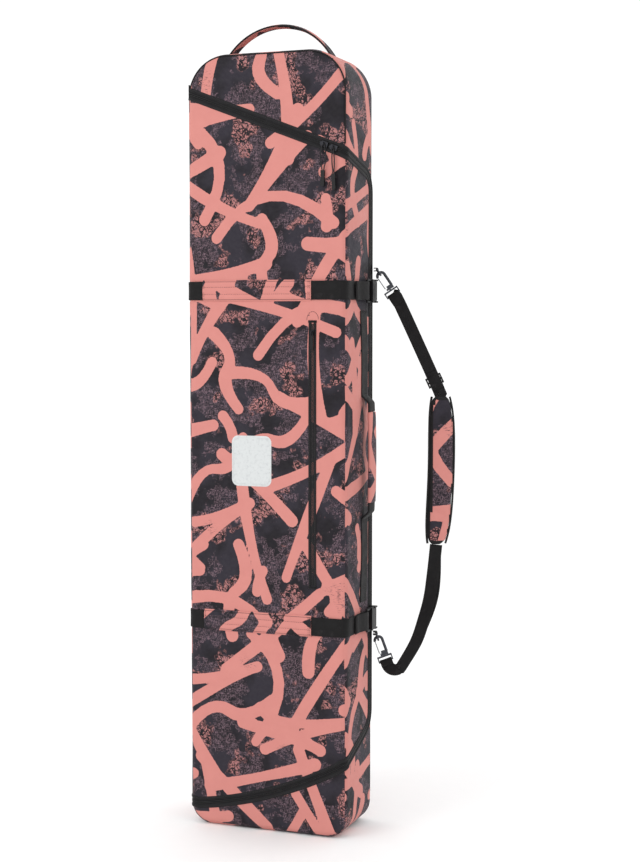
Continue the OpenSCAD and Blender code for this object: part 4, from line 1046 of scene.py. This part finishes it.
M_BADGE = badge_material()
rings, V, F, U = 9, [], [], []
per = 64
for k in range(rings + 1):
    inset = (bw * 0.98) * (k / rings) ** 1.2 if k else 0
    w, h = max(bw - inset, 0.002), max(bh - inset, 0.018)
    r = max(br - inset * 0.5, 0.0015)
    for i in range(per):
        a = 2 * math.pi * i / per
        cx = math.copysign(w - r, math.cos(a))
        cz = math.copysign(h - r, math.sin(a))
        x, z = bx + cx + r * math.cos(a), bz + cz + r * math.sin(a)
        lift = 0.0001 if k == 0 else (0.0008 if k == 1 else 0.0007)
        p, _, n = wall(x, z, lift)
        V.append(tuple(p))
        U.append((x, z))
for k in range(rings):
    for i in range(per):
        j = (i + 1) % per
        F.append([k * per + i, k * per + j, (k + 1) * per + j, (k + 1) * per + i])
F.append([rings * per + i for i in range(per)])
o = make("badge_face", V, F, U, [M_BADGE], "door")
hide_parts("badge")
edge_path = []
for i in range(101):
    a = 2 * math.pi * i / 100
    q = 0.0045
    r = br - q * 0.6
    edge_path.append((bx + math.copysign(bw - q - r, math.cos(a)) + r * math.cos(a),
                      bz + math.copysign(bh - q - r, math.sin(a)) + r * math.sin(a)))
stitches("badge_stitch", edge_path, "door", M_BADGE, 0.0009, 0.0036, 0.0026, 0.0004)

# Pouch of the front pocket, inside the door
lo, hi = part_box("pocket_pouch")
nx, nz = 30, 60
V, U = [], []
for side in (0, 1):
    for i in range(nx + 1):
        for j in range(nz + 1):
            u, v = i / nx, j / nz
            e = min(u, 1 - u, (v * 2.2 if v < 0.5 else (1 - v) * 2.2)) / 0.08
            k = 1 - max(0, 1 - e) ** 2 if e < 1 else 1
            full = (hi.y - lo.y) * (0.82 + 0.1 * noise.noise((u * 3, v * 7, 0.5))) * k
            V.append((lo.x + (hi.x - lo.x) * u, lo.y + 0.0002 + (full if side else 0), lo.z + (hi.z - lo.z) * v))
            U.append((V[-1][0], V[-1][2]))
N = (nx + 1) * (nz + 1)
Q = grid_quads(nx + 1, nz + 1)
F = [list(q) for q in Q] + [[i + N for i in q[::-1]] for q in Q]
o = make("pocket_pouch_cloth", V, F, U, [M_LINING], "door")
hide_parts("pocket_pouch")

# ---------------------------------------------------------------- webbing in free space

def ribbon(name, pts, across, width, thick, mat, body=None, sec=None, **kw):
    """Flat webbing along points, with a width direction for each (or one for all)."""
    pts = [Vector(p) for p in pts]
    if not isinstance(across, list):
        across = [Vector(across)] * len(pts)
    frames = []
    for i, p in enumerate(pts):
        d = (pts[min(i + 1, len(pts) - 1)] - pts[max(i - 1, 0)]).normalized()
        a = Vector(across[i])
        a = (a - d * a.dot(d)).normalized()
        frames.append((p, a, a.cross(d)))
    return sweep(name, frames, sec or rounded(width, -thick / 2, thick / 2), [mat], body, **kw)


def smooth_line(points, step=0.004):
    """Catmull-Rom curve through points, resampled."""
    P = [Vector(p) for p in points]
    P = [P[0] * 2 - P[1]] + P + [P[-1] * 2 - P[-2]]
    out = []
    for i in range(1, len(P) - 2):
        n = max(2, int((P[i + 1] - P[i]).length / step))
        for k in range(n):
            t = k / n
            a, b, c, d = P[i - 1], P[i], P[i + 1], P[i + 2]
            out.append(0.5 * ((2 * b) + (c - a) * t + (2 * a - 5 * b + 4 * c - d) * t * t
                              + (3 * b - a - 3 * c + d) * t ** 3))
    return out + [P[-2]]


Z = Vector((0, 0, 1))
BUCKLE_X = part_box("upper_plug")[0].x
BUCKLE_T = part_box("upper_plug")[1].x - BUCKLE_X
PLUG_BAR, SOCKET_BAR, BAR_R = 0.022, 0.071, 0.0022
for part, z0 in (("upper", UPPER_Z), ("lower", LOWER_Z)):
    cx = BUCKLE_X + BUCKLE_T / 2
    r = BAR_R + 0.0014
    # Round the plug's bar: flat under it, over it, and the loose end standing off forwards
    loop = [(cx - r, PLUG_BAR - y, z0) for y in np.linspace(0.022, 0, 8)]
    loop += [(cx - r * math.cos(a), PLUG_BAR + r * math.sin(a), z0) for a in np.linspace(0.2, math.pi - 0.2, 12)]
    loop += [(cx + r, PLUG_BAR - 0.004, z0), (cx + r - 0.0004, PLUG_BAR - 0.010, z0),
             (cx - r * 0.2, PLUG_BAR - 0.026, z0), (cx - r + 0.001, PLUG_BAR - 0.034, z0),
             (cx - r + 0.001, PLUG_BAR - 0.048, z0), (cx - r + 0.001, PLUG_BAR - 0.0615, z0)]
    o = ribbon(part + "_tail_webbing", loop, Z, STRAP_W, 0.0017, M_WEB, part + "_plug")
    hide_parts(part + "_tail")
    # From the back panel round the back edge to the socket's bar, and round it
    ax = [(s, z0) for s in np.linspace(BACK0 + FLAT - 0.065, side_s(0.0745), 60)]
    pts = [wall(s, z, 0.0012, False)[0] for s, z in ax]
    ring = [(cx - r * math.cos(a), SOCKET_BAR - r * math.sin(a), z0) for a in np.linspace(0.1, math.pi - 0.1, 12)]
    pts += [Vector((cx - r - 0.001, SOCKET_BAR + 0.0015, z0))] + [Vector(p) for p in ring]
    o = ribbon(part + "_anchor_webbing", pts, Z, STRAP_W, 0.0017, M_WEB, "shell")
    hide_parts(part + "_anchor_web")

# ---------------------------------------------------------------- pull cords

def top_line(x):
    return TOP_MID - TOP_SLOPE * x


def pull_half(bow, g):
    return [(0, 0), (g * 1.6, -0.5), (g * 2.7, -2.4), (g * bow * 0.55, -8), (g * bow * 0.85, -16), (g * bow, -26),
            (g * bow * 0.85, -36), (g * bow * 0.5, -45), (g * 1.8, -52)]


for side, x, bow, lean in (("left", 0.128, 6, 0.02), ("right", 0.148, 2.6, -0.03)):
    route = pull_half(bow, -1)[:0:-1] + pull_half(bow, 1)
    route = [Vector((x + (p[0] + lean * p[1]) * MM, -0.0857, top_line(x) + p[1] * MM)) for p in route]
    curve = bpy.data.curves.new(f"pull_cord_curve_{side}", "CURVE")
    curve.dimensions = "3D"
    curve.bevel_depth = 0.0012
    curve.bevel_resolution = 3
    curve.use_fill_caps = True
    sp = curve.splines.new("POLY")
    fine = smooth_line(route, 0.0012)
    sp.points.add(len(fine) - 1)
    for i, p in enumerate(fine):
        sp.points[i].co = (*p, 1)
    o = bpy.data.objects.new(f"pull_loop_{side}", curve)
    bpy.context.scene.collection.objects.link(o)
    curve.materials.append(M_CORD)
    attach(o, f"pull_{side}")
    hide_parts(f"pull_cord_{side}")

# ---------------------------------------------------------------- top handle

lo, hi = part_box("top_handle")
half, rise = 0.104, 0.050
R_H = (half ** 2 + rise ** 2) / (2 * rise)
mid_top = hi.z - 0.0035
cz = mid_top - R_H
low_angle = math.asin(half / R_H)


def handle_section(t):
    """Wide and flat where it is sewn down, folded into a narrower cupped grip at the middle."""
    c = math.sin(math.pi * min(max(t, 0), 1)) ** 0.8
    w = 0.0148 - 0.0035 * c
    cup = 0.0035 * c
    th = 0.0028 + 0.0012 * c
    out = []
    n = 10
    for i in range(n + 1):
        q = -1 + 2 * i / n
        out.append((q * w, th / 2 - cup * q * q + cup * 0.5))
    for i in range(n + 1):
        q = 1 - 2 * i / n
        out.append((q * w * 0.97, -th / 2 - cup * q * q + cup * 0.5))
    return out


def handle_frames(ext, n=90):
    out = []
    for i in range(n):
        a = -low_angle - ext + (2 * low_angle + 2 * ext) * i / (n - 1)
        out.append((Vector((R_H * math.sin(a), 0, cz + R_H * math.cos(a))), Vector((0, 1, 0)),
                    Vector((math.sin(a), 0, math.cos(a)))))
    return out


def swept(name, frames, section, mats, uv_shift, ink=True):
    n = len(frames)
    m = len(section(0.5))
    V, U = [], []
    run = 0
    for k, (p, a, o) in enumerate(frames):
        if k:
            run += (p - frames[k - 1][0]).length
        for x, h in section(k / (n - 1)):
            V.append(tuple(p + a * x + o * h))
            U.append((x + uv_shift[0], run + uv_shift[1]))
    return make(name, V, tube_faces(n, m), U, mats, None, ink=ink_field(np.array(U)) if ink else None)


for g, name in ((-1, "left"), (1, "right")):
    fr = [f for f in handle_frames(0.16) if f[0].x * g >= -0.002]
    if g < 0:
        section = lambda t: handle_section(t * 0.5)
    else:
        section = lambda t: handle_section(0.5 + t * 0.5)
    o = swept("handle_cloth_" + name, fr, section, [M_PRINT], (0.75, 0.3 if g < 0 else 0.46))
    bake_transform(o)
    if g < 0:
        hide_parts("top_handle", "top_handle_ends")
    for e in (-1, 1):
        def bound(t, e=e, section=section):
            x, h = section(t)[0 if e < 0 else 10]
            r = 0.0014
            return [(x + r * math.cos(a), h - 0.001 + r * 1.3 * math.sin(a))
                    for a in np.linspace(0, 2 * math.pi, 9)[:-1]]
        o = swept(f"handle_binding_{name}_{'front' if e < 0 else 'back'}", fr, bound, [M_BINDING], (0, 0), ink=False)
        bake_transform(o)

# Piping along the top of the front seam, and along the back seam
def seam_path(back, lo_z):
    out = []
    for x, z in ([(-HW + SEAM, v) for v in np.linspace(lo_z[0], TOP_Z - TOP_R, 30)][:-1]
                 + [(-HW + TOP_R - (TOP_R - SEAM) * math.cos(a), TOP_Z - TOP_R + (TOP_R - SEAM) * math.sin(a))
                    for a in np.linspace(0, math.pi / 2, 24)]
                 + [(v, TOP_Z - SEAM) for v in np.linspace(-HW + TOP_R, HW - TOP_R, 40)][1:-1]
                 + [(HW - TOP_R + (TOP_R - SEAM) * math.sin(a), TOP_Z - TOP_R + (TOP_R - SEAM) * math.cos(a))
                    for a in np.linspace(0, math.pi / 2, 24)]
                 + [(HW - SEAM, v) for v in np.linspace(TOP_Z - TOP_R, lo_z[1], 60)][1:]):
        out.append(Vector((x, (HD - SEAM) * (1 if back else -1), z)))
    return out


def tube(name, pts, r, mat, body, sides=8):
    fr = []
    for i, p in enumerate(pts):
        d = (pts[min(i + 1, len(pts) - 1)] - pts[max(i - 1, 0)]).normalized()
        ref = Vector((0, 1, 0)) if abs(d.y) < 0.9 else Vector((1, 0, 0))
        a = d.cross(ref).normalized()
        fr.append((p, a, a.cross(d)))
    sec = [(r * math.cos(2 * math.pi * i / sides), r * math.sin(2 * math.pi * i / sides)) for i in range(sides)]
    return sweep(name, fr, sec, [mat], body)


tube("top_front_piping", seam_path(False, (1.541, 1.409)), 0.0016, M_BINDING, "shell")
tube("back_piping_top", seam_path(True, (0.06, 0.06)), 0.0020, M_BINDING, "shell")

# ---------------------------------------------------------------- side grip

lo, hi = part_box("side_grip")
gw = (hi.y - lo.y)
gy = (hi.y + lo.y) / 2
g_out = hi.x - 0.009
half_g = (hi.z - lo.z) / 2


def grip_line(z0, z1, n=26):
    out = []
    for k in range(n):
        z = z0 + (z1 - z0) * k / (n - 1)
        t = abs(z - MID_Z) / half_g
        e = min(1, max(0, (1 - t) / 0.16))
        x = HW + 0.0022 + (g_out - HW - 0.0022) * (e * e * (3 - 2 * e))
        out.append(Vector((x + 0.0030 * (1 - t * t), gy, z)))
    return out


def grip_frames(pts):
    out = []
    for i, p in enumerate(pts):
        d = (pts[min(i + 1, len(pts) - 1)] - pts[max(i - 1, 0)]).normalized()
        out.append((p, Vector((0, -1, 0)), Vector((d.z, 0, -d.x))))
    return out


def grip_section(thick):
    w = gw / 2
    def at(_):
        return ([(-w, 0), (-w * 0.92, thick * 0.42), (-w * 0.5, thick * 0.55), (0, thick * 0.6),
                 (w * 0.5, thick * 0.55), (w * 0.92, thick * 0.42), (w, 0),
                 (w * 0.92, -thick * 0.32), (w * 0.4, -thick * 0.4),
                 (-w * 0.4, -thick * 0.4), (-w * 0.92, -thick * 0.32)])
    return at


cut_lo, cut_hi = MID_Z - half_g * 0.72, MID_Z + half_g * 0.72
o = swept("grip_pad", grip_frames(grip_line(cut_lo, cut_hi, 60)), grip_section(0.0095), [M_PRINT], (0.9, 0.4))
o.modifiers.new("sub", "SUBSURF").levels = 1
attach(o, "side_grip")
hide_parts("side_grip")
for g, a, b in (("low", MID_Z - half_g, cut_lo), ("high", cut_hi, MID_Z + half_g)):
    o = swept("grip_end_" + g, grip_frames(grip_line(a, b, 24)), grip_section(0.0040 if g else 0.003), [M_WEB], (0, 0),
              ink=False)
    if g == "low":
        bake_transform(o)
    else:
        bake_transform(o)
for g, z0, z1 in (("low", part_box("side_grip_web")[0].z, MID_Z - half_g + 0.006),
                  ("high", MID_Z + half_g - 0.006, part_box("side_grip_web")[1].z)):
    path = dense([(side_s(gy), z0), (side_s(gy), z1)], 0.006)
    o = sweep("grip_webbing_" + g, wall_frames(path), rounded(gw, 0.0001, 0.0022), [M_WEB], "door")
    if g == "low":
        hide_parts("side_grip_web")
    for zz in ((z0 + 0.004, z0 + 0.03) if g == "low" else (z1 - 0.004, z1 - 0.03)):
        row = [(side_s(gy) - gw / 2 + 0.003, zz), (side_s(gy) + gw / 2 - 0.003, zz)]
        stitches(f"grip_box_{g}_{int(zz * 1000)}", row, "door", M_THREAD, 0.0023)

# ---------------------------------------------------------------- shoulder strap

TURN = math.radians(21)
AXIS = Vector((0.17874, 0.07281, 0))
OUT = Vector((math.cos(TURN), math.sin(TURN), 0))
FACE = Vector((math.sin(TURN), -math.cos(TURN), 0))
UP_RING, LOW_RING = 1.164, 0.401
UP_PULL, LOW_PULL = math.radians(-56), math.radians(-70)


def plane(x, z, off=0.0):
    """A point of the strap's own upright plane, x out from the bag."""
    return AXIS + OUT * x + Z * z + FACE * off


def on_hook(z, turn, s):
    return (0.007 + (0.0166 + s) * math.cos(turn), z + (0.0166 + s) * math.sin(turn))


def band_frames(route, step=0.005):
    """Frames of webbing whose flat face lies in the strap's plane."""
    P = smooth_line([Vector((x, 0, z)) for x, z in route], step)
    out = []
    for i, p in enumerate(P):
        d = (P[min(i + 1, len(P) - 1)] - P[max(i - 1, 0)]).normalized()
        across = OUT * -d.z + Z * d.x
        out.append((plane(p.x, p.z), across, FACE))
    return out


EYE = 0.046
pad_lo, pad_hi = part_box("shoulder_pad")
PAD_Z0, PAD_Z1 = pad_lo.z, pad_hi.z
PAD_MID, PAD_L = (PAD_Z0 + PAD_Z1) / 2, PAD_Z1 - PAD_Z0


def pad_x(t):
    return 0.143 - 0.010 * (0.6 * t * t - 0.4 * t)


def pad_half(t):
    return (0.036 + 0.018 * (1 - abs(t) ** 5)) / 2


W = 0.026
upper = [on_hook(UP_RING, UP_PULL, EYE + 0.001), on_hook(UP_RING, UP_PULL, EYE + 0.024),
         (pad_x(1) - 0.006, PAD_Z1 + 0.014), (pad_x(1), PAD_Z1 - 0.004)]
PAD_RISE = PAD_Z0 - LOW_RING
LOW_BEND = 0.017


def low_bend(a):
    """A point of the tight bend below the lower hook, where the webbing has direction a."""
    x, z = on_hook(LOW_RING, LOW_PULL, EYE + 0.009)
    return x + LOW_BEND * (math.sin(a) - math.sin(LOW_PULL)), z + LOW_BEND * (math.cos(LOW_PULL) - math.cos(a))


lower = ([on_hook(LOW_RING, LOW_PULL, EYE + 0.003)] + [low_bend(math.radians(a)) for a in range(-70, 51, 15)]
         + [(0.092, LOW_RING - 0.018), (0.109, LOW_RING + 0.18 * PAD_RISE), (0.120, LOW_RING + 0.42 * PAD_RISE),
            (0.127, LOW_RING + 0.7 * PAD_RISE), (pad_x(-1), PAD_Z0 + 0.002)])
o = sweep("strap_upper_webbing", band_frames(upper), rounded(W, -0.0012, 0.0012), [M_WEB], "shoulder_strap")
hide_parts("shoulder_webbing")
fr = band_frames(lower)
# A slow kink and a slight roll, as in webbing that hangs under its own weight
for i, (p, a, n) in enumerate(fr):
    t = i / (len(fr) - 1)
    roll = 0.35 * math.sin(t * 7.0) * math.sin(math.pi * t)
    fr[i] = (p + n * 0.0012 * math.sin(t * 9), a * math.cos(roll) + n * math.sin(roll),
             n * math.cos(roll) - a * math.sin(roll))
sweep("strap_lower_webbing", fr, rounded(W, -0.0012, 0.0012), [M_WEB], "shoulder_strap")
# The loose end, doubled behind the strap below the pad
n0, n1 = int(len(fr) * 0.52), int(len(fr) * 0.93)
back = []
for i in range(n0, n1):
    p, a, n = fr[i]
    t = (i - n0) / (n1 - n0)
    back.append((p - n * 0.0034 - a * 0.0050 * math.sin(math.pi * t), a, n))
sweep("strap_doubled_webbing", back, rounded(W, -0.0010, 0.0010), [M_WEB], "shoulder_strap")


def eye_loop(name, ring_z, turn, length):
    """Webbing folded round a swivel eye's bar and sewn to itself."""
    x0, z0 = on_hook(ring_z, turn, EYE)
    d = Vector((math.cos(turn), 0, math.sin(turn)))
    across = OUT * -d.z + Z * d.x
    along = OUT * d.x + Z * d.z
    c = plane(x0, z0)
    r = 0.0034
    pts = [c + along * length + FACE * 0.0028, c + along * (length * 0.5) + FACE * 0.0034]
    pts += [c + FACE * (r * math.cos(a)) - along * (r * math.sin(a)) for a in np.linspace(0, math.pi, 12)]
    pts += [c + along * (length * 0.5) - FACE * 0.0032, c + along * length - FACE * 0.0022]
    return ribbon(name, pts, across, W, 0.0018, M_WEB, "shoulder_strap")


eye_loop("eye_fold_upper", UP_RING, UP_PULL, 0.022)
eye_loop("eye_fold_lower", LOW_RING, LOW_PULL, 0.010)


def pad_mesh():
    """Pad between its outline's two faces: a closed form, thin at its sewn edge and full in the middle."""
    nt, nw = 64, 14
    V = []
    for side in (1, -1):
        for i in range(nt + 1):
            t = -1 + 2 * i / nt
            for j in range(nw + 1):
                q = -1 + 2 * j / nw
                e = min(1 - abs(q), (1 - abs(t)) * 4.5)
                th = 0.0022 + 0.0040 * (1 - (1 - min(1, e * 2.2)) ** 2)
                x = pad_x(t) + q * (pad_half(t) - 0.0012 - 0.008 * max(0, abs(t) - 0.93) / 0.07)
                V.append(plane(x, PAD_MID + t * (PAD_L / 2 - 0.001), side * th))
    n = (nt + 1) * (nw + 1)
    Q = grid_quads(nt + 1, nw + 1)
    F = [[int(i) for i in q[::-1]] for q in Q] + [[int(i) + n for i in q] for q in Q]
    ring = ([j for j in range(nw + 1)] + [i * (nw + 1) + nw for i in range(1, nt + 1)]
            + [nt * (nw + 1) + j for j in range(nw - 1, -1, -1)] + [i * (nw + 1) for i in range(nt - 1, 0, -1)])
    for k in range(len(ring)):
        a, b = ring[k], ring[(k + 1) % len(ring)]
        F.append([a, b, b + n, a + n])
    return V, F


def inflate(name, V, F, cap, pressure=4.0, voxel=0.005):
    """Cloth simulation of a closed pad: its faces swell under pressure, no point moving further than cap."""
    me = bpy.data.meshes.new(name)
    me.from_pydata([tuple(v) for v in V], [], F)
    me.update()
    o = bpy.data.objects.new(name, me)
    bpy.context.scene.collection.objects.link(o)
    bpy.context.view_layer.objects.active = o
    rm = o.modifiers.new("remesh", "REMESH")
    rm.mode, rm.voxel_size = "VOXEL", voxel
    dg = bpy.context.evaluated_depsgraph_get()
    done = bpy.data.meshes.new_from_object(o.evaluated_get(dg))
    o.modifiers.clear()
    o.data = done
    start = np.zeros(len(done.vertices) * 3)
    done.vertices.foreach_get("co", start)
    c = o.modifiers.new("cloth", "CLOTH")
    c.settings.use_pressure = True
    c.settings.uniform_pressure_force = pressure
    c.settings.effector_weights.gravity = 0
    c.settings.quality = 5
    c.settings.mass = 0.3
    c.point_cache.frame_start, c.point_cache.frame_end = 1, 20
    scene = bpy.context.scene
    for f in range(1, 21):
        scene.frame_set(f)
    dg = bpy.context.evaluated_depsgraph_get()
    end = bpy.data.meshes.new_from_object(o.evaluated_get(dg))
    o.modifiers.clear()
    co = np.zeros(len(end.vertices) * 3)
    end.vertices.foreach_get("co", co)
    face = np.array(FACE)
    move = np.outer((co - start).reshape(-1, 3) @ face, face)
    d = np.linalg.norm(move, axis=1, keepdims=True)
    move *= np.minimum(1, cap / np.maximum(d, 1e-9))
    done.vertices.foreach_set("co", (start.reshape(-1, 3) + move).ravel())
    bpy.data.meshes.remove(end)
    scene.frame_set(1)
    done.update()
    return o


V, F = pad_mesh()
raw = inflate("pad_raw", V, F, 0.0022)
me = raw.data
co = np.zeros(len(me.vertices) * 3)
me.vertices.foreach_get("co", co)
co = co.reshape(-1, 3)
faces = [list(p.vertices) for p in me.polygons]
out_axis, face_axis = np.array(OUT), np.array(FACE)
rel = co - np.array(AXIS)
px_, pz_, pf_ = rel @ out_axis, rel[:, 2], rel @ face_axis
t_ = (pz_ - PAD_MID) / (PAD_L / 2)
mid = np.array([pad_x(t) for t in t_])
halfw = np.array([pad_half(t) for t in t_])
q_ = (px_ - mid) / halfw
# Sewn channels slanting down to the right, pressed into the padding after the simulation
line = (pz_ - PAD_MID) + 0.45 * (px_ - mid)
ch = np.abs((line / 0.045) % 1.0 - 0.5) * 0.045
press = 0.0017 * np.exp(-((0.0225 - ch) / 0.0022) ** 2) * (np.abs(q_) < 0.86)
co = co - np.sign(pf_)[:, None] * face_axis * press[:, None]
uv = np.stack([px_ + 0.42, pz_ + 0.55], 1)
ink = ink_field(uv)
centre = np.array([co[f].mean(0) for f in faces]) - np.array(AXIS)
cx_, cz_ = centre @ out_axis, centre[:, 2]
ct = (cz_ - PAD_MID) / (PAD_L / 2)
cq = (cx_ - np.array([pad_x(t) for t in ct])) / np.array([pad_half(t) for t in ct])
printed = (cq > -0.62) & (cq < 0.84) & (np.abs(ct) < 0.93) & (centre @ face_axis > 0)
bpy.data.objects.remove(raw)
o = make("pad_cloth", co, faces, uv, [M_PRINT, M_BINDING], "shoulder_strap", np.where(printed, 0, 1), ink, sub=1)
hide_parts("shoulder_pad")


def pad_edge(inset_q, lift, r, name, q_side):
    pts = []
    for i in range(80):
        t = -0.97 + 1.94 * i / 79
        pts.append(plane(pad_x(t) + q_side * pad_half(t) * inset_q, PAD_MID + t * PAD_L / 2, lift))
    return tube(name, pts, r, M_BINDING, "shoulder_strap")


pad_edge(0.97, 0.0, 0.0026, "pad_binding_left", -1)
pad_edge(0.97, 0.0, 0.0022, "pad_binding_right", 1)

# Webbing wound over the adjuster's middle bar
fold_end = on_hook(UP_RING, UP_PULL, EYE + 0.022)
d2 = Vector((upper[2][0] - fold_end[0], 0, upper[2][1] - fold_end[1])).normalized()
ac = plane(upper[2][0] - 0.016 * d2.x, upper[2][1] - 0.016 * d2.z)
along = OUT * d2.x + Z * d2.z
across = OUT * -d2.z + Z * d2.x
pts = [ac - along * 0.020 + FACE * 0.0016, ac - along * 0.013 + FACE * 0.0030, ac - along * 0.009 + FACE * 0.0064,
       ac - along * 0.004 + FACE * 0.0072, ac + along * 0.004 + FACE * 0.0072, ac + along * 0.009 + FACE * 0.0064,
       ac + along * 0.013 + FACE * 0.0030, ac + along * 0.020 + FACE * 0.0014]
ribbon("adjuster_wrap", smooth_line(pts, 0.002), across, W, 0.0014, M_WEB, "shoulder_strap")

# Loops round the rings, and the tabs that hold them on the bag's back edge
for part, z0 in (("upper", UP_RING), ("lower", LOW_RING)):
    r = 0.0020 + 0.0009
    c = plane(0.007, z0)
    pts = [c - OUT * 0.0062 + Z * r]
    pts += [c + OUT * (r * math.sin(a)) + Z * (r * math.cos(a)) for a in np.linspace(0, math.pi, 12)]
    pts += [c - OUT * 0.0062 - Z * r]
    o = ribbon(part + "_ring_loop", pts, FACE, 0.017, 0.0016, M_WEB)
    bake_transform(o)
    if part == "upper":
        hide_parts("ring_loops")
    path = dense([(side_s(0.0675), z0), (BACK0 + 0.045, z0)], 0.004)
    o = sweep(part + "_ring_tab", wall_frames(path, False), rounded(0.020, 0.0002, 0.0034), [M_WEB], "shell")
    if part == "upper":
        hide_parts("ring_tabs")

# ---------------------------------------------------------------- floor

def floor_material():
    t = Tree("studio_floor")
    g = t.noise(t.obj(), 30.0, 3.0)
    shade = t.mix(g, (0.93, 0.93, 0.93), (0.95, 0.95, 0.95))
    return t.finish(shade, 0.7, spec=0.2)


me = bpy.data.meshes.new("floor")
me.from_pydata([(-12, -12, 0), (12, -12, 0), (12, 12, 0), (-12, 12, 0)], [], [(0, 1, 2, 3)])
me.materials.append(floor_material())
ground = bpy.data.objects.new("floor", me)
bpy.context.scene.collection.objects.link(ground)
ground.location.z = cad_bounds[0].z - 0.0005
